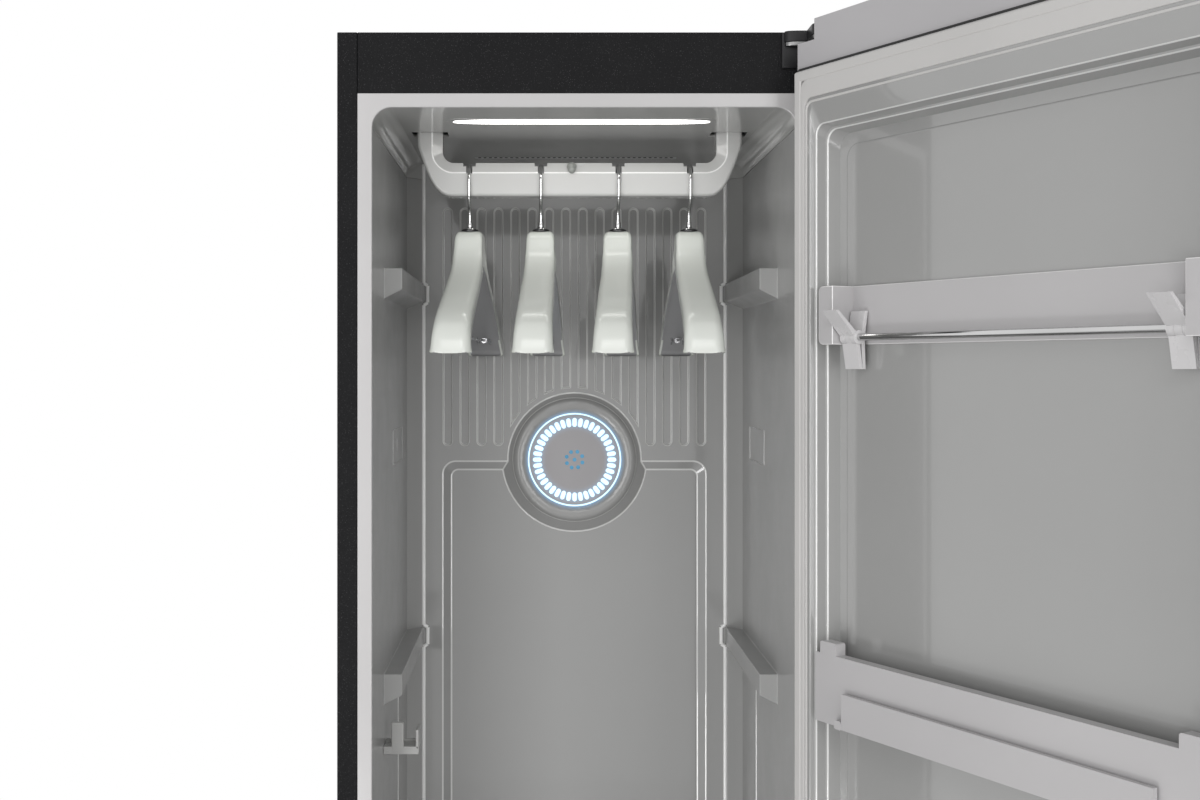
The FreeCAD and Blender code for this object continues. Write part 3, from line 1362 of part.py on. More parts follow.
def make_clip_bracket():
    high = (clip_bracket_low, clip_bracket_low + size.clip_bracket_height)
    cheek_start = clip_bracket_half - size.clip_bracket_cheek
    pieces = [box(both(cheek_start), (pan_floor, pan_floor + size.clip_bracket_back), high)]
    for side in (-1, 1):
        pieces.append(box(on_side(side, cheek_start, clip_bracket_half),
                          (pan_floor, door_back + size.clip_bracket_proud), high))
    rod_span = both(clip_bracket_half - size.clip_bracket_cheek / 2)
    bore = rod("X", rod_spot, size.clip_rod_radius, rod_span)
    node("clip_bracket", swing(without(joined(*pieces), bore)))
    node("clip_rod", swing(group(rod("X", rod_spot, size.clip_rod_radius, rod_span))))


def clip_outline(points):
    return [(rod_spot[0] + y, rod_spot[1] + z) for y, z in points]


def make_clip(name, side):
    """A sprung trouser clip: the inner half slides on the rod, the jaw turns on it."""
    x = side * (clip_bracket_half - size.clip_bracket_cheek - size.clip_gap - size.clip_width / 2)
    leg = size.clip_leg
    hub = size.clip_hub
    rise = size.clip_handle_rise
    drop = size.clip_jaw_drop
    reach = size.clip_handle_reach
    width = around(x, size.clip_width / 2)
    hub_half = size.clip_hub_half
    back = size.clip_inner_reach
    bite = size.clip_bite
    inner_bite = bite + size.rest_gap
    inner_leg = clip_outline([
        (-back, rise), (leg - back, rise), (-leg, leg), (-leg, -leg),
        (-inner_bite, -drop), (-inner_bite - leg, -drop), (-hub, 0)])
    jaw_leg = clip_outline([
        (reach, rise), (reach + leg, rise), (hub, leg / 2), (leg, -hub), (leg - bite, -drop),
        (-bite, -drop), (leg - bite, -hub), (leg / 2, leg)])
    ears = []
    ear_rooms = []
    for end in (-1, 1):
        ear = on_side(end, hub_half + size.clip_side_play, size.clip_width / 2)
        ears.append(rod("X", rod_spot, hub, (x + ear[0], x + ear[1])))
        room = on_side(end, hub_half, size.clip_width)
        ear_rooms.append(rod("X", rod_spot, hub + size.rest_gap, (x + room[0], x + room[1])))
    hub_room = rod("X", rod_spot, hub + size.rest_gap, around(x, hub_half + size.clip_side_play))
    bore = rod("X", rod_spot, size.clip_rod_radius + size.running_fit, width)
    middle = rod("X", rod_spot, hub, around(x, hub_half))
    inner = joined(without(prism("YZ", inner_leg, width), hub_room), *ears)
    jaw = joined(without(prism("YZ", jaw_leg, width), *ear_rooms), middle)
    node(name, swing(without(inner, bore)))
    node(name + "_jaw", swing(without(jaw, bore)))


def make_trouser_rail():
    bottom = trouser_rail_low
    rail_top = bottom + size.trouser_rail_height
    face = door_back + size.trouser_rail_proud
    deep = (face - size.trouser_rail_thickness, face)
    pieces = [box(both(floor_half + size.liner_wall), deep, (bottom, rail_top))]
    flap_deep = (face + size.flap_gap, face + size.flap_gap + size.flap_thickness)
    flap_half = floor_half - size.flap_inset
    axis = (flap_deep[0] + size.flap_thickness / 2, bottom + size.flap_ear_height / 2)
    ear_end = flap_half + size.flap_ear_width
    bores = []
    for side in (-1, 1):
        x = side * (floor_half - size.trouser_tab_inset)
        pieces.append(box(around(x, size.trouser_tab_width / 2), deep,
                          (rail_top, rail_top + size.trouser_tab_height)))
        pieces.append(box(around(x, size.trouser_tab_width / 2), (pan_floor, deep[0]),
                          (bottom + size.trouser_tab_height, rail_top - size.trouser_tab_height)))
        ear = on_side(side, flap_half + size.rest_gap, ear_end)
        pieces.append(box(ear, (face, flap_deep[1]), (bottom, bottom + size.flap_ear_height)))
        bores.append(rod("X", axis, size.flap_pin_radius + size.running_fit, ear))
    node("trouser_rail", swing(without(joined(*pieces), *bores)))
    flap_low = bottom + size.flap_rise
    plate = box(both(flap_half), flap_deep, (flap_low, flap_low + size.flap_height))
    pins = rod("X", axis, size.flap_pin_radius, both(ear_end - size.flap_thickness))
    node("trouser_flap", swing(joined(plate, pins)))


# ------------------------------------------------------------ tanks, filter, grille

def make_tank_bay():
    wall = size.liner_wall
    bay_rear = liner_front + size.bay_depth
    high = (size.opening_bottom - wall, floor_under)
    flange = box(both(open_half + wall), (liner_front, liner_front + wall), high)
    tub = box(both(bay_half + wall), (liner_front, bay_rear), high)
    rooms = [box(on_side(side, size.bay_divider / 2, bay_half), (liner_front, bay_rear - wall),
                 (size.opening_bottom, floor_under - wall)) for side in (-1, 1)]
    node("tank_bay", without(joined(flange, tub), *rooms))


def make_tank(name, side):
    """A closed water tank with a finger recess in its face."""
    wall = size.tank_wall
    middle = side * (size.bay_divider / 2 + bay_half) / 2
    half_wide = (bay_half - size.bay_divider / 2) / 2 - size.tank_play
    face = front + size.tank_setback
    low = size.opening_bottom + size.rest_gap
    high = low + size.tank_height
    case = block(around(middle, half_wide), (face, face + size.tank_depth), (low, high))
    round_edges(case, size.tank_corner, "z", lambda spot: near(spot.y, face))
    recess_top = high - size.tank_grip_height
    recess_low = recess_top - size.tank_grip_height
    grip_half = size.tank_grip_width / 2
    grip_back = face + size.tank_grip_depth
    recess = box(around(middle, grip_half), (face, grip_back), (recess_low, recess_top))
    pocket_wall = box(around(middle, grip_half + wall), (face, grip_back + wall),
                      (recess_low - wall, recess_top + wall))
    water = box(around(middle, half_wide - 2 * wall),
                (face + 2 * wall, face + size.tank_depth - wall), (low + wall, high - wall))
    node(name, without(case, recess, without(water, pocket_wall)))


def make_filter():
    half_wide = size.filter_half_width
    deep = around(filter_y, size.filter_thickness / 2)
    rest = floor_top + size.rest_gap
    low = floor_top - size.filter_drop
    frame = box(both(half_wide), deep, (low, rest))
    margin = size.filter_thickness / 2
    windows = [box(both(half_wide - margin), span, (low + margin, floor_under - margin))
               for span in ((deep[0], filter_y - size.fin_thickness / 2),
                            (filter_y + size.fin_thickness / 2, deep[1]))]
    reach = size.filter_play + size.filter_lip
    lip_top = rest + size.filter_lip_height
    lip = box(both(half_wide + reach), around(filter_y, size.filter_thickness / 2 + reach), (rest, lip_top))
    handle = box(both(size.filter_handle_half), around(filter_y, size.filter_lip_height),
                 (lip_top, lip_top + size.filter_handle_height))
    node("lint_filter", joined(without(frame, *windows), lip, handle))


def make_grille():
    half_wide = size.grille_half_width
    half_deep = size.grille_depth / 2
    rim = box(both(half_wide + size.filter_lip), around(grille_y, half_deep + size.filter_lip),
              (floor_top, floor_top + size.filter_lip_height))
    core = box(both(half_wide - size.rest_gap), around(grille_y, half_deep - size.rest_gap),
               (floor_under, floor_top))
    slots = []
    count = int(2 * half_wide.number / size.grille_pitch.number) - 1
    for number in range(count):
        x = (number - (count - 1) / 2) * size.grille_pitch
        slots.append(box(around(x, (size.grille_pitch - size.grille_bar) / 2),
                         around(grille_y, half_deep - size.grille_bar),
                         (floor_under, floor_top + size.filter_lip_height)))
    node("outlet_grille", without(joined(rim, core), group(*slots)))


# ------------------------------------------------------------ machine space

def make_duct():
    wall = size.duct_wall
    start = front + size.duct_front_setback
    deep = (start, start + size.duct_length)
    trough = box(both(size.duct_half_width), deep, (size.duct_bottom, floor_under))
    inside = box(both(size.duct_half_width - wall), (deep[0] + wall, deep[1] - wall),
                 (size.duct_bottom + wall, floor_under))
    inlet = (front + size.fan_setback, front + size.fan_setback + wall)
    partition = box(both(size.duct_half_width - wall), inlet, (size.duct_bottom + wall, floor_under))
    hole = rod("Y", (0, size.fan_level), size.fan_inlet_radius, inlet)
    node("air_duct", joined(without(trough, inside), without(partition, hole)))
    make_fan(inlet[1] + size.fan_gap, deep[1] - wall)


def make_fan(start, duct_rear):
    axis = (0, size.fan_level)
    end = start + size.fan_length
    motor_start = end + size.fan_motor_gap
    wall = size.duct_wall
    shaft_end = motor_start + size.fan_shaft_reach
    disc = rod("Y", axis, size.fan_radius, (end - wall, end))
    hub = rod("Y", axis, size.fan_hub_radius, (end - size.fan_length / 2, end))
    inner = size.fan_radius - size.fan_blade_depth
    rim = without(rod("Y", axis, size.fan_radius, (start, start + wall)),
                  rod("Y", axis, inner, (start, start + wall)))
    shaft = rod("Y", axis, size.fan_shaft_radius, (end, shaft_end))
    body = body_from(joined(disc, hub, shaft))
    sketch = new_sketch(body, "XZ", -(end - wall), size.fan_level)
    thickness = size.fan_blade_thickness
    lean = size.fan_blade_lean
    draw(sketch, [(0, inner), (thickness, inner), (lean + thickness, size.fan_radius - thickness),
                  (lean, size.fan_radius - thickness)])
    blade = body.newObject("PartDesign::Pad", "Blade")
    blade.Profile = sketch
    bind(blade, "Length", size.fan_length - wall)
    doc.recompute()
    blades = body.newObject("PartDesign::PolarPattern", "Blades")
    blades.Originals = [blade]
    blades.Axis = (sketch, ["N_Axis"])
    blades.Angle = 360
    bind(blades, "Occurrences", size.fan_blades)
    body.Tip = blades
    doc.recompute()
    node("fan_impeller", joined(body, rim))
    motor = rod("Y", axis, size.fan_motor_radius, (motor_start, duct_rear))
    bore = rod("Y", axis, size.fan_shaft_radius + size.running_fit, (motor_start, shaft_end))
    node("fan_motor", without(motor, bore))


def make_heat_exchanger():
    """Evaporator and condenser: two fin packs, each on its own tubes."""
    low = size.duct_bottom + size.duct_wall
    half_wide = size.coil_half_width
    fins = int(2 * half_wide.number / size.fin_pitch.number) + 1
    packs = []
    for number in range(2):
        start = front + size.coil_setback + number * size.coil_spacing
        deep = (start, start + size.coil_depth)
        pieces = []
        for fin in range(fins):
            x = (fin - (fins - 1) / 2) * size.fin_pitch
            pieces.append(box(around(x, size.fin_thickness / 2), deep, (low, low + size.coil_height)))
        for column in range(size.coil_tube_columns.number):
            for row in range(size.coil_tube_rows.number):
                spot = (start + (column + 0.5) * size.coil_depth / size.coil_tube_columns,
                        low + (row + 0.5) * size.coil_height / size.coil_tube_rows)
                pieces.append(rod("X", spot, size.coil_tube_radius,
                                  both(half_wide + size.coil_tube_radius)))
        packs.append(joined(*pieces))
    node("heat_exchanger", group(*packs))


def make_compressor():
    spot = (inner_half - size.compressor_side - size.compressor_radius, rear - size.compressor_rear)
    low = pan_top + size.compressor_foot
    shoulder = low + size.compressor_height - size.compressor_radius / 2
    pieces = [rod("Z", spot, size.compressor_radius, (low, shoulder)),
              cone("Z", spot, size.compressor_radius, size.compressor_radius / 2,
                   (shoulder, low + size.compressor_height))]
    ring = size.compressor_foot_circle
    count = size.compressor_feet.number
    for number in range(count):
        angle = math.radians(90 + 360 / count * number)
        foot = (spot[0] + ring * math.cos(angle), spot[1] + ring * math.sin(angle))
        pieces.append(rod("Z", foot, size.compressor_foot, (pan_top, low)))
    node("compressor", joined(*pieces))


def make_boiler():
    middle = -(inner_half - size.boiler_side - size.boiler_width / 2)
    across = around(middle, size.boiler_width / 2)
    deep = (rear - size.boiler_rear - size.boiler_depth, rear - size.boiler_rear)
    low = pan_top + size.boiler_leg
    pieces = [box(across, deep, (low, boiler_top))]
    leg = size.boiler_leg_half
    for x in around(middle, size.boiler_width / 4):
        for y in (deep[0] + 2 * leg, deep[1] - 2 * leg):
            pieces.append(box(around(x, leg), around(y, leg), (pan_top, low)))
    node("steam_generator", joined(*pieces))


def make_pump_and_controls():
    spot = (-size.pump_x, front + size.pump_setback)
    head = pan_top + size.pump_height
    node("water_pump", joined(rod("Z", spot, size.pump_radius, (pan_top, head)),
                              rod("Z", spot, size.pump_port_radius, (head, head + size.pump_radius))))
    start = front + size.control_setback
    low = size.duct_bottom + size.control_rise
    node("control_box", box((size.duct_half_width, inner_half - size.control_side),
                            (start, start + size.control_depth), (low, low + size.control_height)))
    gland = (gland_x, size.gland_level)
    start = rear - size.gland_reach
    end = rear + size.gland_flange_thickness
    barrel = rod("Y", gland, size.gland_radius, (start, rear))
    flange = rod("Y", gland, size.gland_flange, (rear, end))
    bore = rod("Y", gland, size.gland_bore, (start, end))
    node("cord_gland", without(joined(barrel, flange), bore))


# ------------------------------------------------------------ places of the moving parts

bar_y = place("bar_y", front + size.bar_setback)
bar_half = place("bar_half", open_half - size.bar_side_room)
upper_lug_level = place("upper_lug_level", ceiling - size.upper_lug_drop)
lower_lug_level = place("lower_lug_level", upper_lug_level - size.lug_spacing)
ring_level = place("ring_level", ceiling - size.ring_drop)
bar_bottom = place("bar_bottom", ceiling - size.bar_drop)
bar_top = place("bar_top", bar_bottom + size.bar_height)
carriage_level = place("carriage_level", ceiling_back + size.carriage_gap)
crank_y = place("crank_y", bar_y + size.crank_offset)
notch_floor = place("notch_floor", bar_top - size.notch_depth)
wire_inside = size.crown_radius - size.wire_radius
crown_level = place("crown_level", notch_floor + size.seat_gap
                    - root(wire_inside * wire_inside - size.bar_depth * size.bar_depth / 4))
stem_end = place("stem_end", size.hanger_drop + size.neck_block_depth + size.head_gap
                 + size.stem_head_height)
hook_places = (-size.hook_outer_x, -size.hook_inner_x, size.hook_inner_x, size.hook_outer_x)
filter_y = place("filter_y", front + size.filter_setback)
grille_y = place("grille_y", back_face - size.grille_rear)
ring_seat = place("ring_seat", back_face - size.pedestal_rise)
ring_spot = (0, ring_level)
pipe_y = place("pipe_y", back_rear + size.plenum_wall + 1.5 * size.pipe_radius)
boiler_top = place("boiler_top", pan_top + size.boiler_leg + size.boiler_height)
gland_x = place("gland_x", half - size.gland_inset)

hinge_x = place("hinge_x", half - size.hinge_inset)
hinge_y = place("hinge_y", front - size.hinge_pin_offset)
door_half = place("door_half", half - size.door_edge_gap)
door_back = place("door_back", front - size.door_gap)
door_front = place("door_front", door_back - size.door_thickness)
glass_back = place("glass_back", door_front + size.door_glass)
notch_level = place("notch_level", top - size.door_notch_height)
notch_side = place("notch_side", door_half - size.door_notch_width)
gasket_low = place("gasket_low", size.door_bottom + size.gasket_foot)
gasket_high = place("gasket_high", top - size.gasket_top_drop)
border_half = place("border_half", door_half - size.gasket_inset - size.gasket_width - size.rest_gap)
border_low = place("border_low", gasket_low + size.gasket_width + size.rest_gap)
border_high = place("border_high", gasket_high - size.gasket_width - size.rest_gap)
mouth_half = place("mouth_half", border_half - size.border_width)
mouth_low = place("mouth_low", border_low + size.border_width)
mouth_high = place("mouth_high", border_high - size.pan_top_border)
floor_half = place("door_pan_half", mouth_half - size.pan_slope)
pan_floor = place("door_pan_floor", door_back - size.pan_depth)
clip_bracket_half = place("clip_bracket_half", floor_half - size.clip_bracket_play)
clip_bracket_low = place("clip_bracket_low", top - size.clip_bracket_drop - size.clip_bracket_height)
trouser_rail_low = place("trouser_rail_low", clip_bracket_low - size.trouser_rail_fall)
rod_spot = (place("clip_rod_y", door_back - size.clip_rod_sink),
            place("clip_rod_z", clip_bracket_low + size.clip_rod_rise))
bay_half = place("bay_half", open_half - size.bay_side_room)

# ------------------------------------------------------------ build

make_base_pan(make_feet())
make_side_panel("left_side_panel", -1)
make_side_panel("right_side_panel", 1)
make_top_panel()
make_back_panel()
make_front_rails()
make_front_frame()
make_liner()
make_liner_back()
make_ring()
make_steam_pipe()
make_lamp()
make_side_catch()
make_hanger_bar()
make_drive()
make_hooks()
make_hangers()
make_door_case()
make_door_liner()
make_gasket()
make_hinges()
make_clip_bracket()
make_clip("left_clip", -1)
make_clip("right_clip", 1)
make_trouser_rail()
make_tank_bay()
make_tank("supply_tank", -1)
make_tank("drain_tank", 1)
make_filter()
make_grille()
make_duct()
make_heat_exchanger()
make_compressor()
make_boiler()
make_pump_and_controls()
doc.recompute()

# ------------------------------------------------------------ check and write

for item in doc.Objects:
    if "Invalid" in item.State or "Error" in item.State:
        raise RuntimeError(f"{item.Label} ({item.Name}) failed: {item.State}")

os.makedirs("parts", exist_ok=True)
for solid in NODES:
    shape = solid.Shape
    if shape.isNull() or not shape.isValid() or not shape.Solids:
        raise RuntimeError(f"{solid.Label} has no valid solid")
    shape.exportStep(f"parts/{solid.Label}.step")
    box_now = shape.BoundBox
    print(f"{solid.Label:20s} solids {len(shape.Solids)} volume {shape.Volume:12.0f} "
          f"x {box_now.XMin:8.1f} {box_now.XMax:8.1f} y {box_now.YMin:8.1f} {box_now.YMax:8.1f} "
          f"z {box_now.ZMin:8.1f} {box_now.ZMax:8.1f}")
print(len(NODES), "nodes")
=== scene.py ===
# %% [markdown]
# # A clothes care steam cabinet
# The cabinet's construction is ready made: every part is a solid at its real size, and the parts that
# move hang on bodies. This notebook dresses that frame. Most parts are copied, welded and given the
# rounded edges of a real moulding. The parts that show best, such as the hangers, the hanger bar and the
# door's pan, are modelled anew. Lengths are metres. Outlines are listed in millimetres, and MM scales them.

# %% Load the frame
import json
import math
import bmesh
import bpy
from mathutils import Matrix, Vector


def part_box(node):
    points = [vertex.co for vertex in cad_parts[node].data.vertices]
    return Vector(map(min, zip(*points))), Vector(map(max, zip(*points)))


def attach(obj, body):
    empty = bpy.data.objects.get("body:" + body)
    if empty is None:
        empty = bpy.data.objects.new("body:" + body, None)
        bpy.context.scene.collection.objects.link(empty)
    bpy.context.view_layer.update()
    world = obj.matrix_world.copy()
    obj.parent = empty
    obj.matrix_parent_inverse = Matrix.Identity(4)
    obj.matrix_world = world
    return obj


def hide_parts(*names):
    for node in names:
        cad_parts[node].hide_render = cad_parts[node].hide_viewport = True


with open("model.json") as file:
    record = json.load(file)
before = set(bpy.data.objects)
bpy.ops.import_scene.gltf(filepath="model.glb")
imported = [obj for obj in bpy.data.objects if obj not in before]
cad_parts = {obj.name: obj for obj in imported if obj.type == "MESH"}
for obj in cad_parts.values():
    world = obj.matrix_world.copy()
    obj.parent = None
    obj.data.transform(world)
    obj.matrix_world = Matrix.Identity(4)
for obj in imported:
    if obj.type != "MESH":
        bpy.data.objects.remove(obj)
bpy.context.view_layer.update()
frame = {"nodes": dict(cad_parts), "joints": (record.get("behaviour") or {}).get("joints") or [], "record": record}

NODES = frame["nodes"]
RECORD = frame["record"]
BODY_OF = {node: body for body, nodes in RECORD["behaviour"]["bodies"].items() for node in nodes}
SLOT_OF = {part["node"]: part["material_slot"] for part in RECORD["subparts"]}
MM = 0.001

# %% [markdown]
# ## Camera
# The picture is taken from the front, a little above the steam outlet and a little left of the middle.
# A level camera keeps upright edges upright. What lies off the axis is framed with lens shift, as an
# architect's camera does it, because turning the camera would make the sides lean.

# %% Camera
VIEW_SPOT = Vector((-0.0534, -1.965, 1.551))
LENS, SENSOR = 42.0, 36.0  # focal length and sensor width in millimetres
SHIFT = (0.05, -0.0258)


def add_object(name, data):
    thing = bpy.data.objects.new(name, data)
    bpy.context.collection.objects.link(thing)
    return thing


def make_camera():
    lens = bpy.data.cameras.new("view")
    lens.lens, lens.sensor_width = LENS, SENSOR
    lens.shift_x, lens.shift_y = SHIFT
    camera = add_object("view", lens)
    camera.location = VIEW_SPOT
    camera.rotation_euler = (math.radians(90), 0, 0)
    bpy.context.scene.camera = camera


make_camera()
bpy.context.scene.view_settings.view_transform = "Standard"
print("camera at", tuple(VIEW_SPOT))

# %% [markdown]
# ## Effects shared by the finishes
# A node group is a small machine that several materials use, each with its own settings. Here are five:
# slow changes of tone, fine grain for the bump, flecks of powder coat, the uneven gloss that hands and
# steam leave, and the light that leaks round the lit ring. Each is fed with object coordinates, so the
# pattern keeps its size in metres.

# %% Node group helpers
VECTOR = ("Vector", "Vector", None)


def new_group(name, inputs, output):
    """An empty group; an input is (name, kind, value), the output (name, kind)."""
    group = bpy.data.node_groups.new(name, "ShaderNodeTree")
    for label, kind, value in inputs:
        socket = group.interface.new_socket(label, in_out="INPUT", socket_type="NodeSocket" + kind)
        if value is not None:
            socket.default_value = value
    label, kind = output
    group.interface.new_socket(label, in_out="OUTPUT", socket_type="NodeSocket" + kind)
    given = group.nodes.new("NodeGroupInput").outputs
    return group, given, group.nodes.new("NodeGroupOutput").inputs[0]


def feed(tree, socket, value):
    """Link a socket to another one, or set it to a number or colour."""
    if isinstance(value, bpy.types.NodeSocket):
        tree.links.new(value, socket)
    else:
        socket.default_value = value


def maths(tree, operation, first, second=None, kind="ShaderNodeMath"):
    node = tree.nodes.new(kind)
    node.operation = operation
    feed(tree, node.inputs[0], first)
    if second is not None:
        feed(tree, node.inputs[1], second)
    return node.outputs[1 if operation == "LENGTH" else 0]


def noise(tree, vector, scale, detail=3.0, roughness=0.5):
    texture = tree.nodes.new("ShaderNodeTexNoise")
    for label, value in (("Vector", vector), ("Scale", scale), ("Detail", detail), ("Roughness", roughness)):
        feed(tree, texture.inputs[label], value)
    return texture.outputs["Fac"]


def remap(tree, value, low, high, new_low, new_high):
    """Map a value from one span to another; the ends are numbers or sockets."""
    node = tree.nodes.new("ShaderNodeMapRange")
    ends = {"Value": value, "From Min": low, "From Max": high, "To Min": new_low, "To Max": new_high}
    for label, end in ends.items():
        feed(tree, node.inputs[label], end)
    return node.outputs["Result"]


def blend_colours(tree, mask, first, second, mode="MIX"):
    node = tree.nodes.new("ShaderNodeMix")
    node.data_type = "RGBA"
    node.blend_type = mode
    node.clamp_result = True
    for number, value in ((0, mask), (6, first), (7, second)):
        feed(tree, node.inputs[number], value)
    return node.outputs[2]


print("node helpers ready")

# %% [markdown]
# ### Groups that start from a noise
# A noise gives a slow change or a fine grain, and a Map Range node turns it into the span that is wanted.
# The group then gives out one value, which a material plugs into its shader.

# %% Tone, grain, flecks and uneven gloss
def make_tone_group():
    """Colour that drifts a little lighter and darker, as thick mouldings and paint do."""
    group, given, result = new_group(
        "tone drift", [VECTOR, ("Colour", "Color", (0.5, 0.5, 0.5, 1)), ("Drift", "Float", 0.1),
                       ("Scale", "Float", 3.0)], ("Colour", "Color"))
    field = noise(group, given["Vector"], given["Scale"], detail=4.0)
    darkest = maths(group, "SUBTRACT", 1.0, given["Drift"])
    level = remap(group, field, 0.3, 0.7, darkest, 1.0)
    grey = group.nodes.new("ShaderNodeCombineColor")
    for channel in range(3):
        group.links.new(level, grey.inputs[channel])
    feed(group, result, blend_colours(group, 1.0, given["Colour"], grey.outputs[0], "MULTIPLY"))
    return group


def make_grain_group():
    """A fine uneven height: the orange peel of paint or the skin of a moulding."""
    group, given, result = new_group("fine grain", [VECTOR, ("Scale", "Float", 900.0)], ("Height", "Float"))
    feed(group, result, noise(group, given["Vector"], given["Scale"], detail=2.0, roughness=0.6))
    return group


def make_fleck_group():
    """Small pale flecks, as textured powder coat has."""
    group, given, result = new_group(
        "coat flecks", [VECTOR, ("Scale", "Float", 700.0), ("Share", "Float", 0.3)], ("Mask", "Float"))
    cells = group.nodes.new("ShaderNodeTexVoronoi")
    for label in ("Vector", "Scale"):
        group.links.new(given[label], cells.inputs[label])
    spots = remap(group, cells.outputs["Distance"], 0.12, 0.30, 1.0, 0.0)
    thinned = noise(group, given["Vector"], given["Scale"], detail=1.0)
    shown = remap(group, thinned, 0.45, 0.6, 0.0, 1.0)
    flecks = maths(group, "MULTIPLY", spots, shown)
    feed(group, result, maths(group, "MULTIPLY", flecks, given["Share"]))
    return group


def make_gloss_group():
    """Roughness between two values: dull patches where hands, dust and steam have been."""
    group, given, result = new_group(
        "uneven gloss", [VECTOR, ("Smooth", "Float", 0.2), ("Dull", "Float", 0.3), ("Scale", "Float", 9.0)],
        ("Roughness", "Float"))
    field = noise(group, given["Vector"], given["Scale"], detail=6.0, roughness=0.62)
    feed(group, result, remap(group, field, 0.35, 0.68, given["Smooth"], given["Dull"]))
    return group


TONE = make_tone_group()
GRAIN = make_grain_group()
FLECKS = make_fleck_group()
GLOSS = make_gloss_group()
print("noise groups:", [group.name for group in (TONE, GRAIN, FLECKS, GLOSS)])

# %% [markdown]
# ### A group that starts from a distance
# The lit dashes colour the plastic next to them. The group measures how far a point is from their circle,
# looking along the depth, and the glow fades over a few millimetres.

# %% Ring glow
def make_ring_glow_group():
    """Light that leaks from the lit dashes onto the plastic around them, by distance from the middle."""
    group, given, result = new_group(
        "ring glow", [VECTOR, ("Colour", "Color", (0.1, 0.4, 0.8, 1)), ("Middle", "Vector", (0, 0, 1.411)),
                      ("Radius", "Float", 0.058), ("Reach", "Float", 0.02)], ("Colour", "Color"))
    on_vectors = "ShaderNodeVectorMath"
    offset = maths(group, "SUBTRACT", given["Vector"], given["Middle"], on_vectors)
    sideways = maths(group, "MULTIPLY", offset, (1, 0, 1), on_vectors)
    distance = maths(group, "LENGTH", sideways, kind=on_vectors)
    off_ring = maths(group, "ABSOLUTE", maths(group, "SUBTRACT", distance, given["Radius"]))
    near = remap(group, off_ring, 0.0, given["Reach"], 1.0, 0.0)
    feed(group, result, blend_colours(group, maths(group, "POWER", near, 2.0), (0, 0, 0, 1), given["Colour"]))
    return group


RING_GLOW = make_ring_glow_group()
print("distance group:", RING_GLOW.name)

# %% [markdown]
# ## Finishes
# A finish starts as a Principled shader whose colour, roughness and bump all come from the groups
# above. The real cabinet has six families of them: textured black powder coat, glossy grey mouldings,
# satin fittings, bare and plated metal, rubber, and lit windows. One recipe serves the mouldings and
# paints, because they differ only in colour, gloss and grain. Some finishes are lighter and smoother and
# go on rounded edges: their light colour is a painted highlight, standing in for the bright lines that
# the edges catch.

# %% Recipe for mouldings and paint
MATERIALS = {}
FLECK_COLOUR = (0.07, 0.07, 0.072, 1)
GLOSSY = {"grain": 300.0, "depth": 0.006, "drift": 0.04}
SATIN = {"depth": 0.01, "drift": 0.03}


def place_group(tree, group, vector, **settings):
    node = tree.nodes.new("ShaderNodeGroup")
    node.node_tree = group
    tree.links.new(vector, node.inputs["Vector"])
    for label, value in settings.items():
        node.inputs[label].default_value = value
    return node.outputs[0]


def new_finish(slot):
    material = bpy.data.materials.new(slot)
    material.use_nodes = True
    tree = material.node_tree
    shader = tree.nodes["Principled BSDF"]
    where = tree.nodes.new("ShaderNodeTexCoord").outputs["Object"]
    MATERIALS[slot] = material
    return tree, shader, where


def dress(finish, tone, smooth, dull, patches, grain, depth, vector=None):
    """Feed the colour, the uneven gloss and the bump of a finish; patches and grain are per metre."""
    tree, shader, where = finish
    vector = vector or where
    tree.links.new(tone, shader.inputs["Base Color"])
    gloss = place_group(tree, GLOSS, vector, Smooth=smooth, Dull=dull, Scale=patches)
    tree.links.new(gloss, shader.inputs["Roughness"])
    bump = tree.nodes.new("ShaderNodeBump")
    bump.inputs["Strength"].default_value = depth
    bump.inputs["Distance"].default_value = MM
    tree.links.new(place_group(tree, GRAIN, vector, Scale=grain), bump.inputs["Height"])
    tree.links.new(bump.outputs["Normal"], shader.inputs["Normal"])


def moulded(slot, colour, smooth, dull, grain=900.0, depth=0.05, drift=0.06, coat=0.0, flecks=0.0,
            specular=0.5):
    """Plastic or paint: colour, gloss between smooth and dull, grain per metre and its depth."""
    tree, shader, where = finish = new_finish(slot)
    tone = place_group(tree, TONE, where, Colour=(*colour, 1), Drift=drift, Scale=4.0)
    if flecks:
        mask = place_group(tree, FLECKS, where, Scale=grain, Share=flecks)
        tone = blend_colours(tree, mask, tone, FLECK_COLOUR)
    dress(finish, tone, smooth, dull, patches=9.0, grain=grain, depth=depth)
    shader.inputs["Coat Weight"].default_value = coat
    shader.inputs["Specular IOR Level"].default_value = specular
    return finish


def add_ring_glow(finish, radius, reach, strength):
    tree, shader, where = finish
    glow = place_group(tree, RING_GLOW, where, Radius=radius, Reach=reach)
    tree.links.new(glow, shader.inputs["Emission Color"])
    shader.inputs["Emission Strength"].default_value = strength


print("recipe ready; node group in every finish:", TONE.name, GLOSS.name, GRAIN.name)

# %% [markdown]
# ### Mouldings and paints
# Each line is one finish: its colour, its roughness where it is smooth and where it is dull, and what
# differs from the usual. Coat is a second, sharper reflection on top, which glossy mouldings have and
# powder coat has not. The plastic round the lit dashes also gets a faint blue glow.

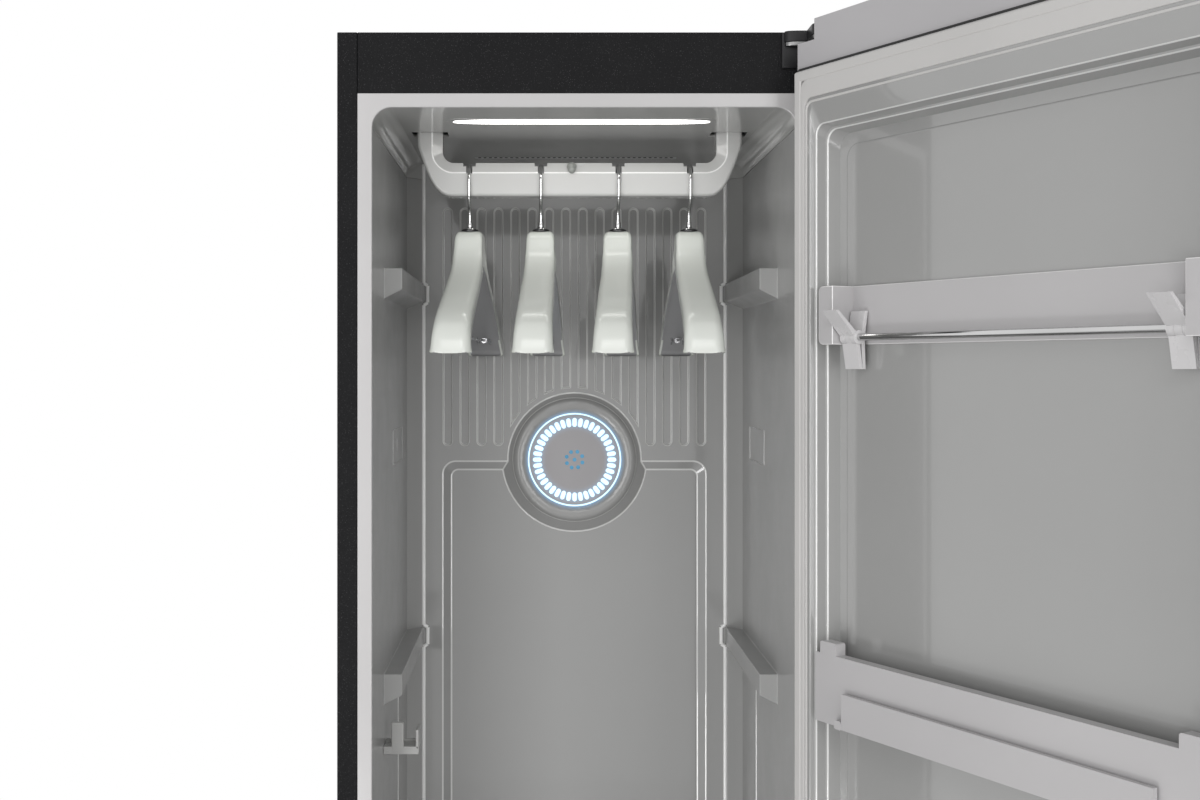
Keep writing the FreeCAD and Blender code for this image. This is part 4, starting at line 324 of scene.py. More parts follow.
# %% Mouldings and paints
moulded("case", (0.0065, 0.0065, 0.0072), 0.45, 0.58, grain=520.0, depth=0.8, drift=0.15, flecks=0.8,
        specular=0.1)
moulded("frame_light", (0.50, 0.49, 0.49), 0.16, 0.24, depth=0.01, coat=0.3)
moulded("liner", (0.34, 0.34, 0.335), 0.10, 0.14, coat=0.8, **GLOSSY)
moulded("door_liner", (0.33, 0.33, 0.325), 0.10, 0.14, coat=0.8, **GLOSSY)
# Lighter finish for rounded edges of the liner: a painted highlight.
moulded("liner_painted_highlight", (0.66, 0.66, 0.65), 0.08, 0.12, coat=1.0, **GLOSSY)
# Near-white for the seam bead: a painted highlight line.
moulded("seam", (0.92, 0.92, 0.91), 0.10, 0.14, coat=1.0, **GLOSSY)
moulded("wall", (0.38, 0.38, 0.375), 0.18, 0.26, grain=300.0, depth=0.004, drift=0.05)
# The ceiling's grey is lighter than the walls' to paint more light onto it.
moulded("ceiling", (0.46, 0.46, 0.45), 0.09, 0.13, grain=300.0, depth=0.002, drift=0.05, coat=0.3)
moulded("bar", (0.54, 0.54, 0.53), 0.16, 0.22, coat=0.6, **SATIN)
# Lighter finish for the bar's crease strip: a painted highlight.
moulded("bar_painted_highlight", (0.9, 0.9, 0.89), 0.12, 0.16, coat=0.8, **SATIN)
moulded("hanger", (0.64, 0.66, 0.62), 0.18, 0.25, coat=0.2, **SATIN)
# Darker grey for the hangers' downward faces: painted shade.
moulded("hanger_underside_shade", (0.30, 0.30, 0.305), 0.3, 0.42, depth=0.03)
# Lighter finish for rounded edges of the fittings: a painted highlight.
moulded("fitting_painted_highlight", (0.78, 0.77, 0.77), 0.16, 0.22, coat=0.5, **SATIN)
moulded("fittings", (0.47, 0.46, 0.465), 0.28, 0.40, depth=0.04)
moulded("clip", (0.60, 0.59, 0.595), 0.2, 0.3, depth=0.02, coat=0.3)
moulded("catch", (0.42, 0.42, 0.41), 0.25, 0.36, depth=0.03)
moulded("pin_grey", (0.26, 0.27, 0.255), 0.3, 0.42, depth=0.03)
moulded("collar", (0.015, 0.015, 0.016), 0.22, 0.35, depth=0.02)
moulded("door_case", (0.44, 0.43, 0.44), 0.32, 0.42, grain=1500.0)
moulded("door_glass", (0.012, 0.012, 0.013), 0.05, 0.12, depth=0.0, drift=0.05, coat=1.0)
moulded("gasket", (0.55, 0.54, 0.53), 0.42, 0.55, depth=0.06)
moulded("hinge", (0.008, 0.008, 0.009), 0.32, 0.45, depth=0.1, specular=0.25)
moulded("bay", (0.035, 0.035, 0.037), 0.4, 0.55, depth=0.1)
moulded("tank", (0.13, 0.135, 0.14), 0.14, 0.26, depth=0.02, coat=0.4)
moulded("filter", (0.06, 0.06, 0.063), 0.4, 0.6, depth=0.1)
moulded("black_plastic", (0.02, 0.02, 0.021), 0.35, 0.5, depth=0.08)
moulded("black_steel", (0.012, 0.012, 0.012), 0.2, 0.35, depth=0.08, coat=0.5)
moulded("feet", (0.02, 0.02, 0.021), 0.5, 0.65, depth=0.1)
# Black that paints shade: the insides of the vent's holes and the gap round the gasket.
moulded("rubber", (0.018, 0.018, 0.018), 0.6, 0.8, depth=0.12)
add_ring_glow(moulded("bezel", (0.33, 0.33, 0.325), 0.22, 0.3, depth=0.02, coat=0.2),
              radius=0.0715, reach=0.008, strength=0.5)
add_ring_glow(moulded("disc", (0.36, 0.35, 0.36), 0.38, 0.48, grain=1400.0, depth=0.04),
              radius=0.0576, reach=0.015, strength=0.55)
print(len(MATERIALS), "mouldings and paints")

# %% [markdown]
# ### Metals
# Bare metal has no colour under its shine, so Metallic is 1 and the colour tints the reflection. A
# Mapping node stretches the coordinates, which draws the grain out into the lines of brushed steel.

# %% Metals
def metal(slot, colour, smooth, dull, stretch=(1.0, 1.0, 1.0), grain=800.0, depth=0.1):
    """Bare or plated metal; a stretch other than 1 brushes it."""
    tree, shader, where = finish = new_finish(slot)
    mapping = tree.nodes.new("ShaderNodeMapping")
    mapping.inputs["Scale"].default_value = stretch
    tree.links.new(where, mapping.inputs["Vector"])
    tone = place_group(tree, TONE, where, Colour=(*colour, 1), Drift=0.1, Scale=12.0)
    dress(finish, tone, smooth, dull, patches=40.0, grain=grain, depth=depth, vector=mapping.outputs[0])
    shader.inputs["Metallic"].default_value = 1.0


BRUSHED = (0.05, 1.0, 1.0)
metal("chrome", (0.62, 0.62, 0.62), 0.04, 0.10, depth=0.01)
metal("hinge_leaf", (0.20, 0.20, 0.20), 0.22, 0.34, BRUSHED, depth=0.05)
metal("steel", (0.56, 0.56, 0.57), 0.22, 0.36, BRUSHED, depth=0.06)
metal("zinc", (0.50, 0.51, 0.52), 0.35, 0.52, grain=60.0, depth=0.04)
metal("motor", (0.52, 0.52, 0.53), 0.35, 0.5, depth=0.12)
metal("fins", (0.70, 0.70, 0.71), 0.25, 0.4, depth=0.05)
print(len(MATERIALS), "finishes with the metals")

# %% [markdown]
# ### Lit windows
# The lamp, the thin ring and the forty dashes of the steam outlet glow by themselves. Emission goes
# into the same Principled shader, so the windows still shine like plastic, and a slow noise keeps the
# glow from looking printed.

# %% Lit windows
def glowing(slot, colour, light, strength, unevenness=0.1):
    tree, shader, where = new_finish(slot)
    tone = place_group(tree, TONE, where, Colour=(*colour, 1), Drift=unevenness, Scale=60.0)
    tree.links.new(tone, shader.inputs["Base Color"])
    glow = place_group(tree, TONE, where, Colour=(*light, 1), Drift=unevenness, Scale=45.0)
    tree.links.new(glow, shader.inputs["Emission Color"])
    shader.inputs["Emission Strength"].default_value = strength
    gloss = place_group(tree, GLOSS, where, Smooth=0.2, Dull=0.35, Scale=30.0)
    tree.links.new(gloss, shader.inputs["Roughness"])


glowing("glow", (0.55, 0.75, 0.85), (0.62, 0.86, 1.0), 0.95)
glowing("blue_hole", (0.06, 0.20, 0.32), (0.05, 0.26, 0.45), 0.6, 0.2)
glowing("lamp", (0.85, 0.85, 0.83), (1.0, 0.99, 0.96), 5.0)
print("finishes:", len(MATERIALS))

# %% [markdown]
# ## Pieces
# A piece is one mesh that you can see. It gets its finish, which is that of its slot unless another is
# given, its shading and the body that it rides on, and the part that it stands for is hidden. That part
# is only hidden, because it still stands for the collision.

# %% Making a piece
CREASE = 32  # degrees; flatter edges are shaded smooth
PIECES = []


def mesh_from(bm, name):
    mesh = bpy.data.meshes.new(name)
    bm.to_mesh(mesh)
    bm.free()
    return mesh


def shade_evenly(piece):
    piece.modifiers.new("even shading", "WEIGHTED_NORMAL").keep_sharp = True


def finish_piece(name, bm, body, slot, replaces=(), crease=CREASE, weighted=True, material=None,
                 second=None):
    """Turn a bmesh into a piece at the origin that rides on a body and has one finish or two."""
    bm.normal_update()
    mesh = mesh_from(bm, name)
    mesh.shade_smooth()
    mesh.set_sharp_from_angle(angle=math.radians(crease))
    mesh.materials.append(MATERIALS[material or slot])
    if second:
        mesh.materials.append(MATERIALS[second])
    piece = add_object(name, mesh)
    if weighted:
        shade_evenly(piece)
    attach(piece, body)
    if replaces:
        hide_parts(*replaces)
    PIECES.append(name)
    return piece


print("piece helper ready; crease", CREASE, "degrees")

# %% [markdown]
# ### Welded copies with rounded edges
# A part from the frame is a bag of loose triangles. A copy of it is welded, its flat triangles are
# joined back into faces, and the edges that are really sharp get a bevel of a few segments. Real
# mouldings never have a knife edge: the rounding is what catches the light.

# %% Welding and rounding
WELD = 2e-6
FLAT_ANGLE = math.radians(0.6)
SHARP_ANGLE = math.radians(22)


def welded(node):
    """A welded bmesh copy of a part, with its flat triangles joined into faces."""
    bm = bmesh.new()
    bm.from_mesh(NODES[node].data)
    bmesh.ops.remove_doubles(bm, verts=bm.verts, dist=WELD)
    bmesh.ops.dissolve_limit(bm, angle_limit=FLAT_ANGLE, verts=bm.verts, edges=bm.edges,
                             use_dissolve_boundaries=False)
    return bm


def sharp_edges(bm, wanted=None, shortest=0.0, outward=None):
    """Edges over the sharp angle; outward asks for ridges only (True) or hollows only (False)."""
    edges = []
    for edge in bm.edges:
        if len(edge.link_faces) != 2 or edge.calc_length() < shortest:
            continue
        if outward is not None and edge.is_convex != outward:
            continue
        if edge.calc_face_angle() < SHARP_ANGLE:
            continue
        if wanted is None or wanted((edge.verts[0].co + edge.verts[1].co) / 2):
            edges.append(edge)
    return edges


def finish_copy(node, bm, **looks):
    """Finish a piece that stands for one part, on that part's body and in its slot."""
    return finish_piece(node + "_skin", bm, BODY_OF[node], SLOT_OF[node], replaces=(node,), **looks)


def bevel(bm, edges, radius, segments, clamp=True):
    """Round the edges and give back the new faces."""
    return bmesh.ops.bevel(bm, geom=edges, offset=radius, offset_type="OFFSET", segments=segments,
                           profile=0.5, affect="EDGES", clamp_overlap=clamp, material=-1)["faces"]


def round_off(bm, radius, segments=2, wanted=None, shortest=0.0, clamp=True, outward=None, highlight_index=0):
    edges = sharp_edges(bm, wanted, shortest, outward)
    # Faces of the new rounding can take a second, lighter finish, which is a painted highlight.
    for face in bevel(bm, edges, radius, segments, clamp):
        face.material_index = highlight_index
    return len(edges)


def soften(nodes, radius, segments=2, painted_highlight=None, material=None, **choice):
    """The usual dressing of parts: welded, edges rounded by millimetres, finish of their own slot."""
    for node in nodes:
        bm = welded(node)
        count = 0
        if radius:
            # A second finish given here goes on the rounded edges as a painted highlight.
            count = round_off(bm, radius * MM, segments, highlight_index=1 if painted_highlight else 0, **choice)
        finish_copy(node, bm, material=material, second=painted_highlight)
        print(node, count, "edges rounded")


print("rounding helpers ready; weld distance", WELD)

# %% [markdown]
# ### Lofts
# A loft is a skin stretched over a row of sections, as on the ribs of a boat. A flat grid is made with
# one row for each section, and its points are moved there. The grid already knows its faces, so none
# have to be listed.

# %% Lofting
SEAM_GAP = 0.02 * MM


def lofted(sections):
    """Lay the rows of a grid on the sections, which all have as many points, and weld the seam."""
    bm = bmesh.new()
    bmesh.ops.create_grid(bm, x_segments=len(sections[0]) - 1, y_segments=len(sections) - 1, size=1.0)
    bm.verts.ensure_lookup_table()
    points = [point for section in sections for point in section]
    for vert, point in zip(bm.verts, points):
        vert.co = Vector(point) * MM
    bmesh.ops.remove_doubles(bm, verts=bm.verts, dist=SEAM_GAP)
    return bm


def face_outward(bm):
    bmesh.ops.recalc_face_normals(bm, faces=bm.faces)


def mirrored_loft(sections, axis):
    """Half a shape and its mirror image, welded in the middle and closed at the ends."""
    bm = lofted(sections)
    bmesh.ops.mirror(bm, geom=bm.verts[:] + bm.edges[:] + bm.faces[:], axis=axis, merge_dist=SEAM_GAP)
    open_edges = [edge for edge in bm.edges if len(edge.link_faces) == 1]
    bmesh.ops.holes_fill(bm, edges=open_edges, sides=0)
    face_outward(bm)
    return bm


print("loft helper ready")

# %% [markdown]
# ## Steel case
# The sides, the top, the rail above the opening and the kick plate are folded steel with a black
# textured powder coat. Folded steel has a bend radius, so each long edge is rounded by about a
# millimetre. The zinc coated tray and back stay plain.

# %% Case
soften(("left_side_panel", "right_side_panel"), 0.5)
soften(("top_front_rail", "kick_plate"), 0.8, 3)
soften(("top_panel", "back_panel", "base_pan"), 0.4, 1, shortest=3 * MM)
soften(("levelling_feet",), 0.6)

# %% [markdown]
# ## Front frame
# A light grey gloss moulding runs round the opening. Its inner edge rolls over into the cavity, so it
# shows a bright line all the way round. The outer edges are only broken.

# %% Front frame
FRAME_ROLL = 4.5 * MM
FRAME_EDGE = 0.8 * MM
OUTER_BAND = 6 * MM
frame_low, frame_high = (Vector(corner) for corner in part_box("front_frame"))


def on_frame_outline(spot):
    return (abs(spot.x) > frame_high.x - OUTER_BAND or spot.z > frame_high.z - OUTER_BAND
            or spot.z < frame_low.z + OUTER_BAND)


def make_front_frame():
    bm = welded("front_frame")
    rolled = round_off(bm, FRAME_ROLL, 6, lambda spot: not on_frame_outline(spot)
                       and spot.y < frame_low.y + MM)
    broken = round_off(bm, FRAME_EDGE, 2, on_frame_outline)
    finish_copy("front_frame", bm)
    return rolled, broken


print("front frame edges rolled and broken:", make_front_frame())

# %% [markdown]
# ## Cavity
# The walls, the ceiling and the floor are one family of glossy grey mouldings. The corner between a
# side wall and its bevel is a soft hollow, and the shelf lugs have rounded edges.

# %% Cavity walls, ceiling and floor
soften(("liner_left_wall", "liner_right_wall"), 2.5, 4, material="wall")
# The ceiling's lighter grey paints light onto it.
soften(("liner_ceiling",), 0.0, material="ceiling")
soften(("cavity_floor",), 1.0, material="wall")
# The back moulding's rounded edges get the lighter finish: painted highlight lines.
soften(("liner_back_panel",), 1.3, 3, painted_highlight="liner_painted_highlight", clamp=False)

# %% [markdown]
# ### Catch on the left wall
# A small tray sits on the left wall, with an upright tongue in the middle and a thin prong at its end. It
# is made of boxes, each with rounded edges, which overlap like the ribs of a moulding.

# %% Catch
CATCH_BLOCKS = [  # centre, size and rounding in millimetres
    ((-234.4, -126.0, 1057.0), (46.2, 29.0, 4.0), 0.8),
    ((-234.4, -139.4, 1052.9), (46.2, 3.2, 8.2), 1.0),
    ((-234.4, -113.0, 1058.0), (46.2, 3.0, 9.0), 0.8),
    ((-239.1, -138.2, 1069.8), (16.6, 6.0, 41.6), 2.2),
    ((-213.5, -126.0, 1065.0), (4.0, 29.0, 32.0), 1.2),
]


def add_block(bm, centre, size, rounding=0.0, turn=None):
    """A box with rounded edges, made from a unit cube; sizes in millimetres."""
    made = bmesh.ops.create_cube(bm, size=1.0)["verts"]
    bmesh.ops.scale(bm, vec=Vector(size) * MM, verts=made)
    if turn is not None:
        bmesh.ops.rotate(bm, matrix=turn, verts=made)
    bmesh.ops.translate(bm, vec=Vector(centre) * MM, verts=made)
    if rounding:
        bevel(bm, [edge for edge in bm.edges if edge.verts[0] in made], rounding * MM, 2)


catch = bmesh.new()
for block in CATCH_BLOCKS:
    add_block(catch, *block)
finish_copy("side_catch", catch)
print("catch made of", len(CATCH_BLOCKS), "blocks")

# %% [markdown]
# ## Hanger bar
# The bar hangs on two arms and shakes the clothes. It is one moulding: the slanted upper edge of the bar
# runs on up both arms. So a section is lofted round the bend, from the top of one arm to the middle of
# the bar, and mirrored. Each section lies between a point of the outer edge and a point of the inner one.

# %% Bar outline
bar_low, bar_high = (Vector(corner) * 1000 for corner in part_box("hanger_bar"))
BAR_MIDDLE = (bar_low.y + bar_high.y) / 2
BAR_HALF = (bar_high.y - bar_low.y) / 2
ARM_OUT = bar_high.x
ARM_IN = ARM_OUT - 34.0
BAR_TOP = bar_low.z + 45.3
ARM_BEND = bar_low.z + 68.9
ARM_KNEE = ARM_BEND + 6  # the arms are straight above this
ARM_CORNER = ARM_OUT - 23.7
INNER_ROUND = 14.0
STRAIGHT_XS = (130.0, 65.0, 0.0)
HANDLE = 0.55  # a cubic curve looks round when its handles are this share of the radius


def bezier(start, first, second, end, steps):
    """Points of a cubic curve after its start."""
    points = []
    for step in range(1, steps + 1):
        t = step / steps
        weights = ((1 - t) ** 3, 3 * t * (1 - t) ** 2, 3 * t * t * (1 - t), t ** 3)
        points.append(sum((Vector(point) * weight for point, weight
                           in zip((start, first, second, end), weights)), Vector((0, 0))))
    return points


def bar_edges():
    """Outer and inner edge as matching points (x, z), from the top of the arm to the middle.

    The curves' control points are set off from the bend by millimetres.
    """
    outer = [Vector((ARM_OUT, bar_high.z)), Vector((ARM_OUT, ARM_KNEE))]
    outer += bezier(outer[-1], (ARM_OUT, ARM_BEND), (ARM_OUT - 1, ARM_BEND - 4),
                    (ARM_OUT - 4, ARM_BEND - 12), steps=4)
    outer += bezier(outer[-1], (ARM_OUT - 12, ARM_BEND - 36), (ARM_CORNER + 1, bar_low.z),
                    (ARM_CORNER - 22, bar_low.z), steps=9)
    inner = [Vector((ARM_IN, bar_high.z)), Vector((ARM_IN, ARM_KNEE))]
    inner += [Vector((ARM_IN, ARM_KNEE - (ARM_KNEE - BAR_TOP - INNER_ROUND) * step / 4))
              for step in range(1, 5)]
    inner += bezier(inner[-1], (ARM_IN, BAR_TOP + INNER_ROUND * (1 - HANDLE)),
                    (ARM_IN - INNER_ROUND * HANDLE, BAR_TOP), (ARM_IN - INNER_ROUND, BAR_TOP), steps=9)
    for x in STRAIGHT_XS:
        outer.append(Vector((x, bar_low.z)))
        inner.append(Vector((x, BAR_TOP)))
    return list(zip(outer, inner))


print("bar stations:", len(bar_edges()))

# %% [markdown]
# ### One section of the bar
# Seen from the end, the bar is a flat box whose lower front and back edges are rounded and whose upper
# ones are slanted. The profile is drawn for the front and mirrored to the back.

# %% Bar section
SLANT = (6.0, 14.0)  # depth and height of the slanted edge
FACE_ROUND, FACE_STEPS = 4.5, 5
CREASE_DROP = 0.25  # the slanted edge starts this far behind the front face
CREASE_HALF = 0.9
TOP_CHAMFER = 1.2


def bar_section(outer, inner):
    """A closed section across the bar: rounded outer edge, flat faces, bevels towards the inner edge."""
    across = (inner - outer).normalized()
    width = (inner - outer).length
    front = [(width, BAR_HALF - SLANT[0] - TOP_CHAMFER), (width - TOP_CHAMFER, BAR_HALF - SLANT[0]),
             (width - SLANT[1] + CREASE_HALF, BAR_HALF - CREASE_DROP),
             (width - SLANT[1] - CREASE_HALF, BAR_HALF)]
    for step in range(FACE_STEPS + 1):
        turn = math.pi / 2 * step / FACE_STEPS
        front.append((FACE_ROUND * (1 - math.sin(turn)), BAR_HALF - FACE_ROUND * (1 - math.cos(turn))))
    profile = [(run, -deep) for run, deep in front] + [(run, deep) for run, deep in reversed(front)]
    profile.append(profile[0])
    spots = [(outer + across * run, deep) for run, deep in profile]
    return [(spot.x, BAR_MIDDLE + deep, spot.y) for spot, deep in spots]


print("points of a bar section:", len(bar_section(*bar_edges()[0])))

# %% [markdown]
# ### Notches
# The hooks hang in stepped notches, and a small cut marks the middle of the bar. A Boolean modifier
# subtracts a closed cutter, and it is applied at once: what Blender works out is read back as the piece's
# own mesh, so the cutter can go.

# %% Carving
def carve(piece, cutter):
    """Cut a closed bmesh out of a piece for good."""
    tool = add_object("cutter", mesh_from(cutter, "cutter"))
    cut = piece.modifiers.new("cut", "BOOLEAN")
    cut.object = tool
    cut.solver = "EXACT"
    scene_now = bpy.context.evaluated_depsgraph_get()
    scene_now.update()
    carved = bpy.data.meshes.new_from_object(piece.evaluated_get(scene_now), depsgraph=scene_now)
    piece.modifiers.clear()
    piece.data = carved
    bpy.data.objects.remove(tool)
    carved.set_sharp_from_angle(angle=math.radians(CREASE))


print("carving helper ready")

# %% [markdown]
# ### Bar and pin
# The bar is lofted, its thin strip where the slanted edge starts gets a lighter finish that paints the
# highlight line of the crease, and the cutters are placed at the swivel joints of the hangers. A grey pin
# with two round lobes stands in its middle.

# %% Bar and pin
SWIVELS = [joint for joint in frame["joints"] if joint["name"].endswith("_swivel")]
NOTCHES = ((17.0, 5.0), (8.3, 15.0))  # width and depth of the step and of the slot
CUT_X, CUT_DEPTH = 1.6, 5.6
CUT_STRETCH = (1.3, 1, 0.7)  # makes the square cutter's V wider and shallower
CUT_FORWARD = 40
CUTTER_LENGTH = 60
SPARE = 20  # how far a cutter stands out of the bar


def make_bar():
    bm = mirrored_loft([bar_section(outer, inner) for outer, inner in bar_edges()], "X")
    front = (BAR_MIDDLE - BAR_HALF) * MM
    # The thin strip at the crease gets the lighter finish: a painted highlight line.
    for face in bm.faces:
        deepest = max(vert.co.y - front for vert in face.verts)
        if abs(deepest - CREASE_DROP * MM) < 0.01 * MM:
            face.material_index = 1
    bar = finish_copy("hanger_bar", bm, weighted=False, second="bar_painted_highlight")
    for width, down in NOTCHES:
        notches = bmesh.new()
        for joint in SWIVELS:
            add_block(notches, (joint["pos_m"][0] * 1000, BAR_MIDDLE, BAR_TOP + (SPARE - down) / 2),
                      (width, CUTTER_LENGTH, down + SPARE))
        carve(bar, notches)
    notch = bmesh.new()
    add_block(notch, (CUT_X, BAR_MIDDLE - CUT_FORWARD, BAR_TOP),
              (2 * CUT_DEPTH, CUTTER_LENGTH, 2 * CUT_DEPTH), turn=Matrix.Rotation(math.radians(45), 3, "Y"))
    bmesh.ops.scale(notch, vec=CUT_STRETCH, verts=notch.verts,
                    space=Matrix.Translation(-Vector((CUT_X, 0, BAR_TOP)) * MM))
    carve(bar, notch)
    shade_evenly(bar)
    return len(bar.data.polygons)


PIN_X = -10.7
PIN_FALL = 7.0  # below the bar's edge
PIN_LOBES = ((1.2, 5.0, 6.4), (-3.0, 7.5, 5.4))  # height above the pin, how far proud, radius


def make_pin():
    bm = bmesh.new()
    for rise, proud, radius in PIN_LOBES:
        centre = Vector((PIN_X, BAR_MIDDLE - BAR_HALF + SLANT[0] - proud, BAR_TOP - PIN_FALL + rise)) * MM
        bmesh.ops.create_icosphere(bm, subdivisions=3, radius=radius * MM,
                                   matrix=Matrix.Translation(centre))
    finish_piece("bar_pin", bm, "bar", "bar", material="pin_grey")


print("bar faces:", make_bar())
make_pin()

# %% [markdown]
# ## Hangers
# A hanger here is a broad moulding that keeps a coat's shoulders in shape. Two curves describe it from
# the side, its back and its lower rim, and a table says how wide it is at each depth. Points at the same
# place in both lists belong together: a section will be laid across each such pair.

# %% Hanger outline
HANGER_BACK = [
    (0, 0), (8, -0.5), (14, -2.8), (18.5, -8), (21.5, -17), (25, -27.5), (31, -37.5), (41, -47.5),
    (56, -57.8), (76, -68.8), (100, -81), (124, -92.7), (144, -102.8), (158, -110.3), (168.5, -117.3),
    (177, -124.3), (184, -132), (189.5, -142), (193.5, -154), (196, -167)]
HANGER_RIM = [
    (0, -48), (2.5, -48.3), (5, -49.3), (7.5, -51), (10, -53), (13, -55.2), (18, -58.5), (27, -64),
    (42, -72), (64, -83.5), (88, -96), (112, -109), (133, -121), (147, -130), (156, -136), (163, -141),
    (173, -149.5), (180, -156), (184.5, -161), (187.5, -167)]
HALF_WIDTHS = ((0, 18.6), (18, 18.8), (32, 20.0), (58, 20.6), (81, 21.9), (103, 22.5), (124, 23.6),
               (145, 24.8), (163, 26.0), (170, 26.2))  # by the depth below the top
END_ROUND = 5.0
END_SHARES = (0.35, 0.6, 0.8, 0.93, 1.0)  # extra stations near the tip, where it is rounded


def smooth_path(points, parts=3):
    """A curve through the points, each span of it cut in parts."""
    points = [Vector(point) for point in points]
    guides = [points[0] * 2 - points[1]] + points + [points[-1] * 2 - points[-2]]
    curve = []
    for before, start, end, after in zip(guides, guides[1:], guides[2:], guides[3:]):
        for part in range(parts):
            t = part / parts
            curve.append((start * 2 + (end - before) * t + (before * 2 - start * 5 + end * 4 - after) * t * t
                          + (start * 3 - before - end * 3 + after) * t ** 3) / 2)
    return curve + [points[-1]]


def half_width(depth):
    for (above, wide), (below, wider) in zip(HALF_WIDTHS, HALF_WIDTHS[1:]):
        if depth <= below:
            return wide + (wider - wide) * (depth - above) / (below - above)
    return HALF_WIDTHS[-1][1]


def hanger_stations():
    """Back point, rim point and how far the tip's rounding draws the sides in."""
    pairs = list(zip(smooth_path(HANGER_BACK), smooth_path(HANGER_RIM)))
    stations = [(back, rim, 0.0) for back, rim in pairs[:-1]]
    (last_back, last_rim), (end_back, end_rim) = pairs[-2:]
    for share in END_SHARES:
        drawn_in = END_ROUND * (1 - math.sqrt(1 - share * share))
        stations.append((last_back.lerp(end_back, share), last_rim.lerp(end_rim, share), drawn_in))
    return stations


print("stations of half a hanger:", len(hanger_stations()))

# %% [markdown]
# ### One section of a hanger
# A section runs over the rounded back, down both sides, round the thin rim and across the flat face
# below, which lies a little inside the rim. Half a hanger is lofted, and the other half is its mirror
# image, welded at the neck. The flat face below faces down and gets a darker grey: painted shade.

# %% Hanger shell
CORNERS = (7.0, 12.0)  # rounding of the back's edges at the neck and at the tip
CORNER_STEPS = 6
RIM_WIDTH, RIM_DEPTH = 3.2, 1.4
RIM_HEIGHT, RIM_CHAMFER, RIM_DRAFT = 1.2, 0.8, 0.4
BACK_SPLIT = 0.4  # where the extra point of the back lies, as a share of the half width
UNDERSIDE = -0.3  # faces whose normals point down more than this are the flat lower face


def hanger_section(back, rim, drawn_in):
    """One closed section in millimetres, which starts and ends at the left rim."""
    back, rim = Vector((0, *back)), Vector((0, *rim))
    up = (back - rim).normalized()
    far = max(back.y, 0) / HANGER_BACK[-1][0]
    half = half_width(-back.z) - drawn_in
    corner = CORNERS[0] + (CORNERS[1] - CORNERS[0]) * far ** 2
    centre = back - up * corner
    right = [back, back + Vector((half * BACK_SPLIT, 0, 0))]
    for step in range(CORNER_STEPS, -1, -1):
        turn = math.pi / 2 * step / CORNER_STEPS
        reach = half - corner + corner * math.cos(turn)
        right.append(centre + up * corner * math.sin(turn) + Vector((reach, 0, 0)))
    inner = half - RIM_WIDTH
    right += [rim + up * RIM_HEIGHT + Vector((half, 0, 0)), rim + Vector((half - RIM_CHAMFER, 0, 0)),
              rim + Vector((inner, 0, 0)), rim + up * RIM_DEPTH + Vector((inner - RIM_DRAFT, 0, 0))]
    left = [Vector((-point.x, point.y, point.z)) for point in right[:0:-1]]
    return left + right + left[:1]


def make_hanger_shell():
    bm = mirrored_loft([hanger_section(*station) for station in hanger_stations()], "Y")
    inside_rim = (HALF_WIDTHS[-1][1] - RIM_WIDTH) * MM
    for face in bm.faces:
        widest = max(abs(vert.co.x) for vert in face.verts)
        # Downward faces inside the rim get the darker grey: painted shade.
        if face.normal.z < UNDERSIDE and widest < inside_rim and len(face.verts) == 4:
            face.material_index = 1
    return bm


print("points of a hanger section:", len(hanger_section(*hanger_stations()[0])))

# %% [markdown]
# ### Fittings of a hanger
# A steel rod crosses each hanger between two ears, and a black collar with a chrome ferrule holds the
# hook. The collar and the ferrule are turned, as on a lathe: a profile is spun round the upright axis.

# %% Fittings on a hanger
BAR_FALL = 144.0
BAR_RADIUS = 2.0
BUTTON_RADIUS = 4.2
BUTTON_SPAN = (-3, 4)  # inwards and outwards from the rod's end
EAR_SPREAD = 8.5
EAR_SHIFT = (1, 2)  # outwards and up from the rod's end
EAR_SIZE, EAR_ROUND = (1.6, 9.0, 15.0), 0.5
COLLAR = [(0, -1.5), (11.2, -1.5), (11.8, -0.6), (11.8, 1.4), (11.0, 2.5), (0, 2.5)]
FERRULE = [(0, 2.3), (8.8, 2.3), (8.4, 3.6), (5.4, 5.0), (4.2, 5.8), (4.0, 12.0), (3.2, 13.0), (0, 13.0)]
UP = Vector((0, 0, 1))
TURN_STEPS = 32


def spun(profile):
    """A turned shape; the profile is (radius, height) in millimetres from one end to the other."""
    bm = bmesh.new()
    across = UP.orthogonal().normalized()
    verts = [bm.verts.new(across * (radius * MM) + UP * (height * MM)) for radius, height in profile]
    edges = [bm.edges.new(pair) for pair in zip(verts, verts[1:])]
    bmesh.ops.spin(bm, geom=verts + edges, cent=(0, 0, 0), axis=UP, angle=math.tau,
                   steps=TURN_STEPS, use_merge=True)
    bmesh.ops.remove_doubles(bm, verts=bm.verts, dist=WELD)
    face_outward(bm)
    return bm


def add_rod(bm, start, end, radius, segments=20):
    """A round bar between two points in millimetres, with closed ends."""
    start, end = Vector(start), Vector(end)
    along = end - start
    matrix = Matrix.Translation((start + end) / 2 * MM) @ along.to_track_quat("Z", "Y").to_matrix().to_4x4()
    bmesh.ops.create_cone(bm, cap_ends=True, segments=segments, radius1=radius * MM,
                          radius2=radius * MM, depth=along.length * MM, matrix=matrix)


